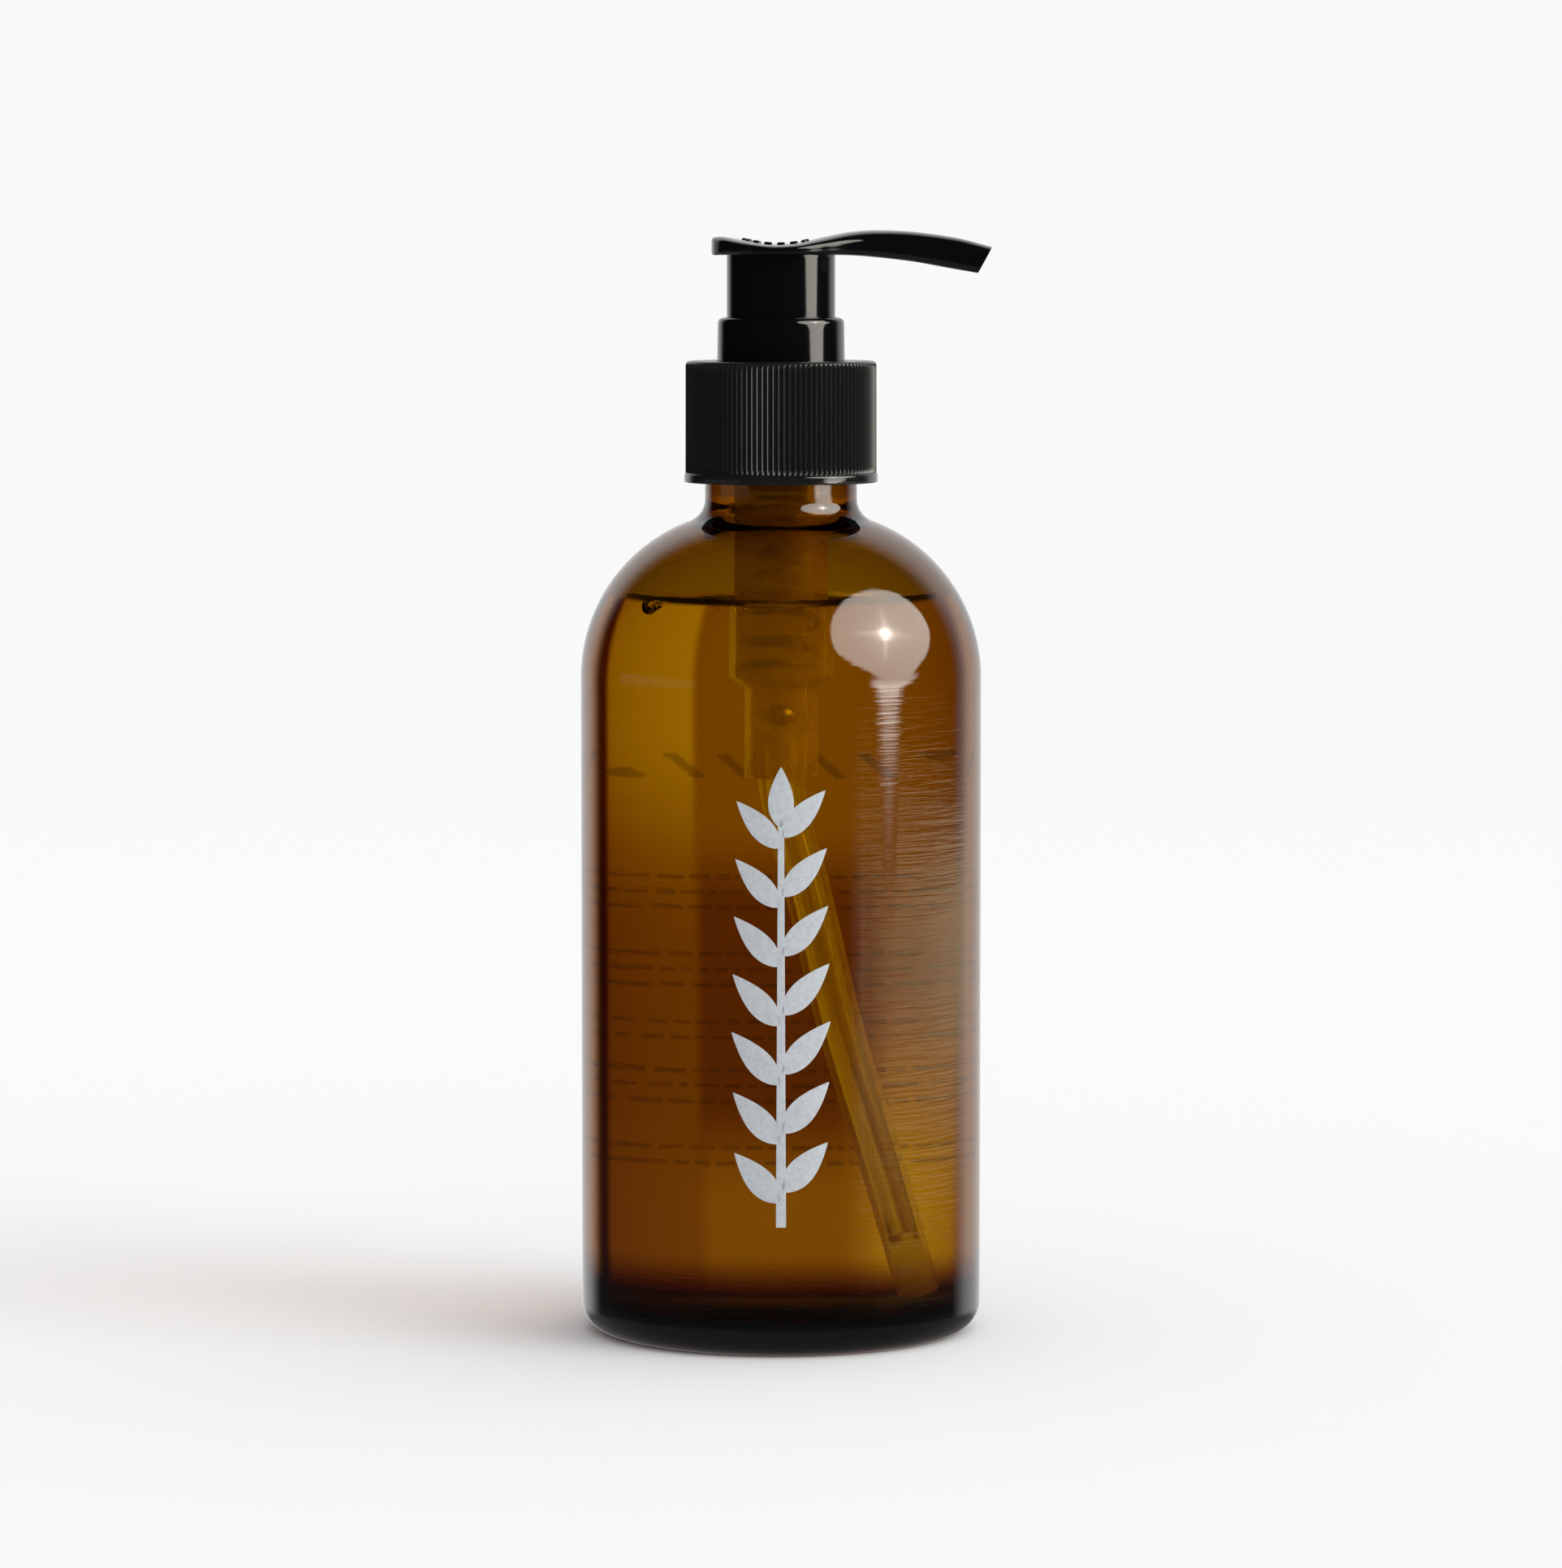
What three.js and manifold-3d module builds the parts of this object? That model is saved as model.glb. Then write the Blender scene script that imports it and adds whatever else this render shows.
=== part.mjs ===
// Pump oil bottle: an amber glass Boston round with a screw-on lotion pump.
// Millimetres, +Z up. The origin is the centre of the base, and the nozzle points along +X.
import * as THREE from "three";
import { mergeVertices } from "three/addons/utils/BufferGeometryUtils.js";
import Module from "manifold-3d";

const wasm = await Module();
wasm.setup();

// ---------------------------------------------------------------------------
// Driving dimensions
// ---------------------------------------------------------------------------
const SEGMENTS = 48; // facets of a large circle
const FINE_SEGMENTS = 32; // facets of the pump's small circles
const THREAD_STEPS = 32; // steps of a thread in one turn

const BOTTLE = {
  radius: 30.35,
  wall: 2.65,
  heel: 4.3,
  innerHeel: 6,
  floor: 4.4,
  shoulderZ: 99.5,
  shoulderArc: 25.3,
  neckRadius: 11.5,
  neckFillet: 3.6,
  bore: 8.25,
  finishZ: 129.8,
  finishRadius: 10.9,
  lipZ: 142.4,
  lipRound: 0.7,
};

const THREAD = {
  pitch: 3.175, // eight turns to the inch
  depth: 1,
  rootHalf: 0.95,
  crestHalf: 0.38,
  turns: 1.5,
  startZ: 133.2,
  clearance: 0.25,
  embed: 0.3,
};

const COLLAR = {
  bottomZ: 129.1,
  flangeRadius: 14.65,
  flangeHeight: 1.3,
  ribs: 110,
  ribCrest: 14.5,
  ribRoot: 14.15,
  bore: BOTTLE.finishRadius + THREAD.depth + THREAD.clearance,
  ceilingZ: 146.2,
  topZ: 147.4,
  edgeRound: 0.5,
  holeRadius: 9.9,
};

const SLEEVE = {
  bottomRadius: 9.67,
  topRadius: 9.55,
  bore: 8.45,
  topZ: 154,
  edgeRound: 0.9,
  flangeRadius: 11.2,
  flangeZ: 144.9,
  webZ: 145.9,
  guideRadius: 2.85,
};

const HOUSING = {
  flangeRadius: 11,
  flangeZ: 143.7,
  flangeTopZ: 144.7,
  chamberOuter: 7.07,
  chamberBore: 6.2,
  chamberZ: 111.3,
  barrelOuter: 5.45,
  barrelBore: 4.6,
  ledgeZ: 99.3,
  intakeOuter: 3.8,
  ballBore: 2.6,
  seatZ: 93.3,
  seatHole: 1.2,
  socketBore: 2.65,
  socketTopZ: 91.9,
  bottomZ: 84.9,
  ventRadius: 0.5,
  ventZ: 139,
};

const TUBE = { radius: 2.4, bore: 1.7, notch: 1.6, steps: 22, sides: 10 };
const BALL_RADIUS = 1.6;
const GASKET = { inner: 8.6, outer: 11.3, bottomZ: 142.7, topZ: 143.4 };
const STEM = { radius: 2.6, bore: 1.5, bottomZ: 131, topZ: 161.8, stopZ: 135.9, stopRadius: 3.6 };
const PLUG = { flangeRadius: 4.9, bottomZ: 127.9, flangeTopZ: 129, neckRadius: 2.5, postTopZ: 132 };
const PISTON = { bottomZ: 129.3, topZ: 134.9, bore: 2.8, lip: 6.1, waist: 5.5, lipTopZ: 134.2 };
const SPRING = { radius: 3.85, wire: 0.35, bottomZ: 99.75, topZ: 127.45, coils: 8 };

const HEAD = {
  skirtRadius: 8.2,
  skirtWall: 1,
  skirtBottomZ: 153.2,
  bossRadius: 3.9,
  bossBottomZ: 155,
  socketRadius: 2.75,
  socketTopZ: 162.1,
  plateZ: 163.3,
  channelRadius: 1.05,
  tipLean: 1.1, // how far the slanted tip leans out at its top and in at its bottom
  leanFromX: 18,
  squareness: 3, // exponent of the cross-section's superellipse
};

// Stations along the actuator: x, half width, underside height, top height.
const HEAD_STATIONS = [
  [-10.45, 1.1, 163.7, 165.6],
  [-9.9, 3.5, 163.35, 166],
  [-8.5, 6.2, 163.3, 166.1],
  [-5.5, 8.95, 163.3, 165.6],
  [-1.5, 10.4, 163.3, 165.05],
  [2.5, 10, 163.3, 165.25],
  [6.5, 8.2, 163.3, 166.1],
  [10.5, 6.4, 163.25, 166.85],
  [14.5, 5.4, 162.95, 167.1],
  [20, 4.8, 162.3, 166.85],
  [26, 4.4, 161.3, 165.95],
  [30.7, 4.2, 160.6, 164.6],
];

// ---------------------------------------------------------------------------
// Shape tools
// ---------------------------------------------------------------------------
const at = (radius, z) => new THREE.Vector2(radius, z);

// Points along an arc of an outline, from one angle to another in degrees.
function arc(centreR, centreZ, radius, fromDeg, toDeg, steps) {
  return Array.from({ length: steps + 1 }, (_, i) => {
    const angle = THREE.MathUtils.degToRad(THREE.MathUtils.lerp(fromDeg, toDeg, i / steps));
    return at(centreR + radius * Math.cos(angle), centreZ + radius * Math.sin(angle));
  });
}

// A solid of revolution about Z. The outline runs up its outside and down its inside.
function revolve(outline, segments) {
  const onAxis = outline[0].x === 0 && outline.at(-1).x === 0;
  const points = onAxis ? outline : [...outline, outline[0]];
  return new THREE.LatheGeometry(points, segments).rotateX(Math.PI / 2);
}

// A cylinder along Z between two heights.
function rod(radius, bottomZ, topZ, segments = FINE_SEGMENTS) {
  return revolve([at(0, bottomZ), at(radius, bottomZ), at(radius, topZ), at(0, topZ)], segments);
}

// A closed skin over rings of equal length, with a flat cap at each end.
function loft(rings) {
  const count = rings[0].length;
  const index = [];
  for (let i = 0; i + 1 < rings.length; i++) {
    for (let j = 0; j < count; j++) {
      const a = i * count + j;
      const b = i * count + ((j + 1) % count);
      index.push(a, b, a + count, b, b + count, a + count);
    }
  }
  const last = (rings.length - 1) * count;
  for (let j = 1; j + 1 < count; j++) {
    index.push(0, j + 1, j, last, last + j, last + j + 1);
  }
  return new THREE.BufferGeometry().setFromPoints(rings.flat()).setIndex(index);
}

function toManifold(geometry) {
  const bare = geometry.clone();
  bare.deleteAttribute("normal");
  bare.deleteAttribute("uv");
  const merged = mergeVertices(bare, 1e-3);
  return new wasm.Manifold(
    new wasm.Mesh({
      numProp: 3,
      vertProperties: merged.attributes.position.array,
      triVerts: new Uint32Array(merged.index.array),
    }),
  );
}

function toGeometry(manifold) {
  const mesh = manifold.getMesh();
  const positions = new THREE.BufferAttribute(new Float32Array(mesh.vertProperties), 3);
  const geometry = new THREE.BufferGeometry().setAttribute("position", positions);
  geometry.setIndex(new THREE.BufferAttribute(mesh.triVerts, 1));
  geometry.computeVertexNormals();
  return geometry;
}

const joined = (...parts) => parts.map(toManifold).reduce((whole, next) => whole.add(next));
const cut = (manifold, ...tools) =>
  tools.map(toManifold).reduce((left, tool) => left.subtract(tool), manifold);

// One helical thread ridge. A crest inside its root radius makes a nut's thread.
function threadRidge(rootRadius, crestRadius, startZ) {
  const { pitch, turns, rootHalf, crestHalf, embed } = THREAD;
  const outwards = Math.sign(crestRadius - rootRadius);
  const steps = Math.round(turns * THREAD_STEPS);
  const rings = [];
  for (let i = 0; i <= steps; i++) {
    const angle = (i / THREAD_STEPS) * 2 * Math.PI;
    const fade = Math.min(1, (Math.min(i, steps - i) + 0.3) / 5);
    const crest = THREE.MathUtils.lerp(rootRadius, crestRadius, fade);
    const root = rootRadius - outwards * embed;
    const z = startZ + (i / THREAD_STEPS) * pitch;
    const section = [
      [root, z - rootHalf],
      [crest, z - crestHalf],
      [crest, z + crestHalf],
      [root, z + rootHalf],
    ];
    const ring = section.map(
      ([r, height]) => new THREE.Vector3(r * Math.cos(angle), r * Math.sin(angle), height),
    );
    rings.push(outwards > 0 ? ring.reverse() : ring);
  }
  return loft(rings);
}

// ---------------------------------------------------------------------------
// Bottle
// ---------------------------------------------------------------------------
function bottleGeometry() {
  const b = BOTTLE;
  const centreR = b.radius - b.shoulderArc;
  const filletR = b.neckRadius + b.neckFillet;
  const filletRise = Math.sqrt((b.shoulderArc + b.neckFillet) ** 2 - (filletR - centreR) ** 2);
  const tangentDeg = THREE.MathUtils.radToDeg(Math.atan2(filletRise, filletR - centreR));
  const innerArc = b.shoulderArc - b.wall;
  const boreDeg = THREE.MathUtils.radToDeg(Math.acos((b.bore + 1 - centreR) / innerArc));
  const outline = [
    at(0, 0),
    ...arc(b.radius - b.heel, b.heel, b.heel, -90, 0, 4),
    ...arc(centreR, b.shoulderZ, b.shoulderArc, 0, tangentDeg, 7),
    ...arc(filletR, b.shoulderZ + filletRise, b.neckFillet, tangentDeg + 180, 180, 4).slice(1),
    at(b.neckRadius, b.finishZ),
    at(b.finishRadius, b.finishZ + 0.5),
    ...arc(b.finishRadius - b.lipRound, b.lipZ - b.lipRound, b.lipRound, 0, 90, 2),
    ...arc(b.bore + b.lipRound, b.lipZ - b.lipRound, b.lipRound, 90, 180, 2),
    at(b.bore, b.shoulderZ + innerArc),
    ...arc(centreR, b.shoulderZ, innerArc, boreDeg, 0, 6),
    ...arc(b.radius - b.wall - b.innerHeel, b.floor + b.innerHeel, b.innerHeel, 0, -90, 3),
    at(0, b.floor),
  ];
  const ridge = threadRidge(b.finishRadius, b.finishRadius + THREAD.depth, THREAD.startZ);
  return toGeometry(joined(revolve(outline, SEGMENTS), ridge));
}

// ---------------------------------------------------------------------------
// Closure
// ---------------------------------------------------------------------------
function ribbedBand() {
  const c = COLLAR;
  const outline = new THREE.Shape(
    Array.from({ length: 2 * c.ribs }, (_, i) => {
      const angle = (i / c.ribs) * Math.PI;
      const radius = i % 2 ? c.ribRoot : c.ribCrest;
      return new THREE.Vector2(radius * Math.cos(angle), radius * Math.sin(angle));
    }),
  );
  const inside = new THREE.Path().absarc(0, 0, c.ribRoot - 0.8, 0, 2 * Math.PI, true);
  outline.holes.push(inside);
  const bottomZ = c.bottomZ + c.flangeHeight - 0.1;
  const depth = c.topZ - c.edgeRound - bottomZ;
  return new THREE.ExtrudeGeometry(outline, { depth, bevelEnabled: false, curveSegments: SEGMENTS / 2 })
    .translate(0, 0, bottomZ);
}

function collarGeometry() {
  const c = COLLAR;
  const shell = revolve(
    [
      at(c.bore + 0.3, c.bottomZ),
      at(c.flangeRadius - 0.2, c.bottomZ),
      at(c.flangeRadius, c.bottomZ + 0.3),
      at(c.flangeRadius, c.bottomZ + c.flangeHeight - 0.2),
      at(c.ribRoot, c.bottomZ + c.flangeHeight),
      ...arc(c.ribRoot - c.edgeRound, c.topZ - c.edgeRound, c.edgeRound, 0, 90, 2),
      at(c.holeRadius, c.topZ),
      at(c.holeRadius, c.ceilingZ),
      at(c.bore, c.ceilingZ),
      at(c.bore, c.bottomZ + 0.3),
    ],
    SEGMENTS,
  );
  const threadZ = THREAD.startZ + THREAD.pitch / 2;
  const ridge = threadRidge(c.bore, c.bore - THREAD.depth, threadZ);
  return toGeometry(joined(shell, ribbedBand(), ridge));
}

function gasketGeometry() {
  const { inner, outer, bottomZ, topZ } = GASKET;
  return revolve([at(inner, bottomZ), at(outer, bottomZ), at(outer, topZ), at(inner, topZ)], SEGMENTS);
}

// The sleeve that guides the skirt. Its web guides the stem, and its flange is held by the collar.
function sleeveGeometry() {
  const s = SLEEVE;
  const ledgeZ = s.webZ + 0.1;
  return revolve(
    [
      at(s.guideRadius, s.flangeZ),
      at(s.flangeRadius, s.flangeZ),
      at(s.flangeRadius, ledgeZ),
      at(s.bottomRadius, ledgeZ),
      ...arc(s.topRadius - s.edgeRound, s.topZ - s.edgeRound, s.edgeRound, 0, 75, 3),
      at(s.bore, s.topZ - 0.3),
      at(s.bore, s.webZ),
      at(s.guideRadius, s.webZ),
    ],
    SEGMENTS,
  );
}

// ---------------------------------------------------------------------------
// Pump
// ---------------------------------------------------------------------------
function housingGeometry() {
  const h = HOUSING;
  const body = revolve(
    [
      at(h.socketBore, h.bottomZ),
      at(h.intakeOuter, h.bottomZ),
      at(h.intakeOuter, h.ledgeZ - 0.9),
      at(h.barrelOuter, h.ledgeZ),
      at(h.barrelOuter, h.chamberZ - 0.8),
      at(h.chamberOuter, h.chamberZ),
      at(h.chamberOuter, h.flangeZ),
      at(h.flangeRadius, h.flangeZ),
      at(h.flangeRadius, h.flangeTopZ),
      at(h.chamberBore, h.flangeTopZ),
      at(h.chamberBore, h.chamberZ + 1),
      at(h.barrelBore, h.chamberZ + 0.2),
      at(h.barrelBore, h.ledgeZ),
      at(h.ballBore, h.ledgeZ),
      at(h.ballBore, h.seatZ + 1.3),
      at(h.seatHole, h.seatZ),
      at(h.seatHole, h.socketTopZ),
      at(h.socketBore, h.socketTopZ),
    ],
    FINE_SEGMENTS,
  );
  const vent = new THREE.CylinderGeometry(h.ventRadius, h.ventRadius, h.chamberOuter, 12)
    .rotateZ(Math.PI / 2)
    .translate(-h.chamberOuter, 0, h.ventZ);
  return toGeometry(cut(toManifold(body), vent));
}

// The suction tube's centre line: straight in its socket, then bowed towards the nozzle's side.
const tubeRoute = new THREE.CatmullRomCurve3(
  [
    [0, 91.3],
    [0, 86.5],
    [0.15, 83],
    [0.9, 78],
    [2.4, 70],
    [6.2, 47],
    [10.2, 28],
    [14.9, 5.3],
  ].map(([x, z]) => new THREE.Vector3(x, 0, z)),
);

function tubeGeometry() {
  const section = new THREE.Shape().absarc(0, 0, TUBE.radius, 0, 2 * Math.PI, false);
  section.holes.push(new THREE.Path().absarc(0, 0, TUBE.bore, 0, 2 * Math.PI, true));
  const tube = new THREE.ExtrudeGeometry(section, {
    extrudePath: tubeRoute,
    steps: TUBE.steps,
    curveSegments: TUBE.sides / 2,
    bevelEnabled: false,
  });
  // The V cut across the foot keeps the tube from sealing itself against the floor.
  const foot = tubeRoute.getPoint(1);
  const notch = new THREE.CylinderGeometry(TUBE.notch, TUBE.notch, 4 * TUBE.radius, 4)
    .translate(foot.x, 0, foot.z - 0.4);
  return toGeometry(cut(toManifold(tube), notch));
}

class HelixCurve extends THREE.Curve {
  constructor(radius, bottomZ, topZ, turns) {
    super();
    Object.assign(this, { radius, bottomZ, topZ, turns });
  }

  getPoint(t, target = new THREE.Vector3()) {
    const angle = t * this.turns * 2 * Math.PI;
    const z = THREE.MathUtils.lerp(this.bottomZ, this.topZ, t);
    return target.set(this.radius * Math.cos(angle), this.radius * Math.sin(angle), z);
  }
}

function springGeometry() {
  const { radius, wire, bottomZ, topZ, coils } = SPRING;
  return new THREE.ExtrudeGeometry(new THREE.Shape().absarc(0, 0, wire, 0, 2 * Math.PI, false), {
    extrudePath: new HelixCurve(radius, bottomZ + wire, topZ - wire, coils),
    steps: coils * 12,
    curveSegments: 3,
    bevelEnabled: false,
  });
}

function pistonGeometry() {
  const p = PISTON;
  return revolve(
    [
      at(p.bore, p.bottomZ),
      at(4.6, p.bottomZ),
      at(4.6, p.bottomZ + 1),
      at(p.waist, p.bottomZ + 0.2),
      at(p.lip, p.bottomZ + 0.2),
      at(p.waist + 0.2, p.bottomZ + 1.9),
      at(p.waist + 0.2, p.lipTopZ - 1.6),
      at(p.lip, p.lipTopZ),
      at(p.waist, p.lipTopZ),
      at(4.8, p.lipTopZ - 1.1),
      at(3.6, p.lipTopZ - 1.1),
      at(3.6, p.topZ),
      at(p.bore, p.topZ),
    ],
    FINE_SEGMENTS,
  );
}

// The hollow stem has a stop ring above the piston and a cross port just above its plug.
function stemGeometry() {
  const s = STEM;
  const stem = revolve(
    [
      at(s.bore, s.bottomZ),
      at(s.radius, s.bottomZ),
      at(s.radius, s.stopZ),
      at(s.stopRadius, s.stopZ),
      at(s.stopRadius, s.stopZ + 1),
      at(s.radius, s.stopZ + 1.6),
      at(s.radius, s.topZ),
      at(s.bore, s.topZ),
    ],
    FINE_SEGMENTS,
  );
  const port = new THREE.CylinderGeometry(0.8, 0.8, 4 * s.radius, 12).translate(0, 0, s.bottomZ + 2.2);
  return toGeometry(cut(toManifold(stem), port));
}

function plugGeometry() {
  const p = PLUG;
  const postRadius = STEM.bore - 0.15;
  const neckTopZ = STEM.bottomZ - 0.3;
  return revolve(
    [
      at(0, p.bottomZ),
      at(p.flangeRadius, p.bottomZ),
      at(p.flangeRadius, p.flangeTopZ),
      at(p.neckRadius, p.flangeTopZ),
      at(p.neckRadius, neckTopZ),
      at(postRadius, neckTopZ),
      at(postRadius, p.postTopZ),
      at(0, p.postTopZ),
    ],
    FINE_SEGMENTS,
  );
}

// ---------------------------------------------------------------------------
// Actuator
// ---------------------------------------------------------------------------
// The saddle-shaped plate and nozzle, as superellipse sections along X.
function saddle() {
  const plan = new THREE.CatmullRomCurve3(HEAD_STATIONS.map(([x, w]) => new THREE.Vector3(x, w, 0)));
  const side = new THREE.CatmullRomCurve3(HEAD_STATIONS.map(([, , low, top]) => new THREE.Vector3(low, top, 0)));
  const tipX = HEAD_STATIONS.at(-1)[0];
  const sections = 20;
  const sides = 20;
  const rings = [];
  for (let i = 0; i <= sections; i++) {
    const { x, y: halfWidth } = plan.getPoint(i / sections);
    const { x: low, y: top } = side.getPoint(i / sections);
    const lean = HEAD.tipLean * THREE.MathUtils.smoothstep(x, HEAD.leanFromX, tipX);
    rings.push(
      Array.from({ length: sides }, (_, j) => {
        const angle = (j / sides) * 2 * Math.PI;
        const bulge = (v) => Math.sign(v) * Math.abs(v) ** (2 / HEAD.squareness);
        const across = bulge(Math.cos(angle));
        const up = bulge(Math.sin(angle));
        return new THREE.Vector3(x + lean * up, halfWidth * across, (low + top) / 2 + ((top - low) / 2) * up);
      }),
    );
  }
  return loft(rings);
}

// A raised bar with a pointed end, which shows the way that the head turns to lock.
function turnMark(side) {
  const arrow = new THREE.Shape([
    at(-2.2, -0.35),
    at(0.6, -0.35),
    at(0.6, -1),
    at(2.2, 0),
    at(0.6, 1),
    at(0.6, 0.35),
    at(-2.2, 0.35),
  ]);
  return new THREE.ExtrudeGeometry(arrow, { depth: 1, bevelEnabled: false })
    .rotateZ(side > 0 ? 0 : Math.PI)
    .translate(0, side * 4.6, 164.4);
}

function headGeometry() {
  const h = HEAD;
  const topZ = h.plateZ + 0.6;
  const skirt = revolve(
    [
      at(h.skirtRadius - h.skirtWall, h.skirtBottomZ),
      at(h.skirtRadius - 0.3, h.skirtBottomZ),
      at(h.skirtRadius, h.skirtBottomZ + 0.3),
      at(h.skirtRadius, topZ),
      at(h.skirtRadius - h.skirtWall, topZ),
    ],
    SEGMENTS,
  );
  const boss = rod(h.bossRadius, h.bossBottomZ, topZ);
  const rib = new THREE.BoxGeometry(h.skirtRadius - 1, 3.6, 2.3).translate(h.skirtRadius / 2, 0, topZ - 1.35);
  const socket = rod(h.socketRadius, h.bossBottomZ - 0.1, h.socketTopZ);
  const route = new THREE.CatmullRomCurve3(
    [
      [0, 161.4],
      [1.4, 162.6],
      [4.5, 163.6],
      [9, 164.95],
      [15, 165.05],
      [24, 163.9],
      [34, 161.9],
    ].map(([x, z]) => new THREE.Vector3(x, 0, z)),
  );
  const channel = new THREE.ExtrudeGeometry(
    new THREE.Shape().absarc(0, 0, h.channelRadius, 0, 2 * Math.PI, false),
    { extrudePath: route, steps: 12, curveSegments: 5, bevelEnabled: false },
  );
  const whole = joined(saddle(), skirt, boss, rib, turnMark(1), turnMark(-1));
  return toGeometry(cut(whole, socket, channel));
}

// ---------------------------------------------------------------------------
// Assembly
// ---------------------------------------------------------------------------
function finish(color, roughness, metalness = 0, opacity = 1) {
  return new THREE.MeshStandardMaterial({ color, roughness, metalness, opacity, transparent: opacity < 1 });
}

const amberGlass = finish(0x7a3f06, 0.05, 0, 0.75);
const ribbedBlack = finish(0x131314, 0.5);
const glossBlack = finish(0x070708, 0.12);
const clearPlastic = finish(0xe9e6dc, 0.35, 0, 0.8);
const whitePlastic = finish(0xf2f1ec, 0.4);
const foam = finish(0xf4f3ee, 0.8);
const steel = finish(0xc4c6c8, 0.25, 1);

function piece(name, geometry, material) {
  const mesh = new THREE.Mesh(geometry, material);
  mesh.name = name;
  return mesh;
}

function bottle() {
  return new THREE.Group().add(piece("bottle_glass", bottleGeometry(), amberGlass));
}

function closure() {
  return new THREE.Group().add(piece("screw_collar", collarGeometry(), ribbedBlack));
}

function pumpBody() {
  const ball = piece("intake_ball", new THREE.SphereGeometry(BALL_RADIUS, 12, 8), steel);
  ball.position.z = HOUSING.seatZ + BALL_RADIUS - 0.4;
  return new THREE.Group().add(
    piece("pump_housing", housingGeometry(), clearPlastic),
    piece("lock_sleeve", sleeveGeometry(), glossBlack),
    piece("neck_gasket", gasketGeometry(), foam),
    piece("dip_tube", tubeGeometry(), clearPlastic),
    piece("return_spring", springGeometry(), steel),
    ball,
  );
}

function plunger() {
  return new THREE.Group().add(
    piece("stem", stemGeometry(), whitePlastic),
    piece("stem_plug", plugGeometry(), whitePlastic),
    piece("piston", pistonGeometry(), whitePlastic),
    piece("actuator_head", headGeometry(), glossBlack),
  );
}

const pumpOilBottle = new THREE.Group().add(bottle(), closure(), pumpBody(), plunger());

export default pumpOilBottle;
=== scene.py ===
"""Looks of a pump oil bottle: amber glass, clear oil, a ribbed black collar and a gloss black pump.

Every new piece is a numpy surface in millimetres, written to its mesh in metres, in the frame's own axes.
"""

from __future__ import annotations

import logging
import math
from dataclasses import dataclass
from enum import Enum
from typing import Any, Callable, Optional, Sequence, Union

import bpy
import numpy as np
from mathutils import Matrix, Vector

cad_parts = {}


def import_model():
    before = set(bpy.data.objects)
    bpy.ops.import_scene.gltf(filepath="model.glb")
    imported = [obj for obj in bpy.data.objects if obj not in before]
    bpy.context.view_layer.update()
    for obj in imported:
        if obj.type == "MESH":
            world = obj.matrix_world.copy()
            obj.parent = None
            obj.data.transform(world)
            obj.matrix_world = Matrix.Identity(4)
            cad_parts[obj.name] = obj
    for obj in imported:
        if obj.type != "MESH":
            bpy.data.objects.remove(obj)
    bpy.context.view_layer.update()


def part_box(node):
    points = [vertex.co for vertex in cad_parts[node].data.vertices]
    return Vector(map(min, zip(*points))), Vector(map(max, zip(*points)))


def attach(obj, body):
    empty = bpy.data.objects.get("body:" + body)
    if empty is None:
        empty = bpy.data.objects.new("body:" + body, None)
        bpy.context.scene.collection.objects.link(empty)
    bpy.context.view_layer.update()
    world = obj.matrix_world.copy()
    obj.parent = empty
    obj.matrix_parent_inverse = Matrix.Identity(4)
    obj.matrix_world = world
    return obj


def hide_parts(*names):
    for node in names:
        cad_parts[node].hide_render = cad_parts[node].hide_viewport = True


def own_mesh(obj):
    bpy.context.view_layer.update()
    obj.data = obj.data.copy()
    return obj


LOG = logging.getLogger("pump_oil_bottle")
MM = 0.001
TAU = 2 * math.pi
Array = np.ndarray


class Body(str, Enum):
    """The rigid bodies that pieces ride on."""

    BOTTLE = "bottle"
    PUMP = "pump_body"
    CLOSURE = "closure"
    PLUNGER = "plunger"
    PISTON = "piston_ring"
    HEAD = "head"
    BALL = "valve_ball"


class Slot(str, Enum):
    """The record's material slots."""

    GLASS = "amber_glass"
    RIBBED = "ribbed_black"
    GLOSS = "gloss_black"
    NATURAL = "natural_plastic"
    WHITE = "white_plastic"
    FOAM = "foam_liner"
    STEEL = "spring_steel"
    OIL = "massage_oil"
    INK = "silver_ink"


# ---------------------------------------------------------------------------
# Node sheets: shader maths as Python expressions
# ---------------------------------------------------------------------------


class Value:
    """A socket that carries one number, with the usual operators."""

    def __init__(self, sheet: "NodeSheet", socket: bpy.types.NodeSocket) -> None:
        """Keeps the sheet that new Math nodes go on, and the socket itself."""
        self.sheet = sheet
        self.socket = socket

    def math(self, operation: str, *others: Union["Value", float], clamp: bool = False) -> "Value":
        """Adds one Math node.

        Args:
            operation: The node's operation.
            others: Its second and third inputs.
            clamp: Whether the result is held between 0 and 1.

        Returns:
            The node's result.
        """
        inputs = dict(enumerate((self, *others)))
        settings = {"operation": operation, "use_clamp": clamp}
        return self.sheet.value("ShaderNodeMath", 0, settings, inputs)

    def __add__(self, other: Union["Value", float]) -> "Value":
        """The sum."""
        return self.math("ADD", other)

    __radd__ = __add__

    def __sub__(self, other: Union["Value", float]) -> "Value":
        """The difference."""
        return self.math("SUBTRACT", other)

    def __rsub__(self, other: float) -> "Value":
        """A number less this value."""
        return (self * -1) + other

    def __mul__(self, other: Union["Value", float]) -> "Value":
        """The product."""
        return self.math("MULTIPLY", other)

    __rmul__ = __mul__

    def __pow__(self, other: Union["Value", float]) -> "Value":
        """This value raised to a power."""
        return self.math("POWER", other)

    def step(self, low: float, high: float) -> "Value":
        """A smooth step that is 0 at low and 1 at high, or falls where low is over high."""
        inputs = {"Value": self, "From Min": low, "From Max": high}
        return self.sheet.value("ShaderNodeMapRange", 0, {"interpolation_type": "SMOOTHSTEP"}, inputs)


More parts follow.
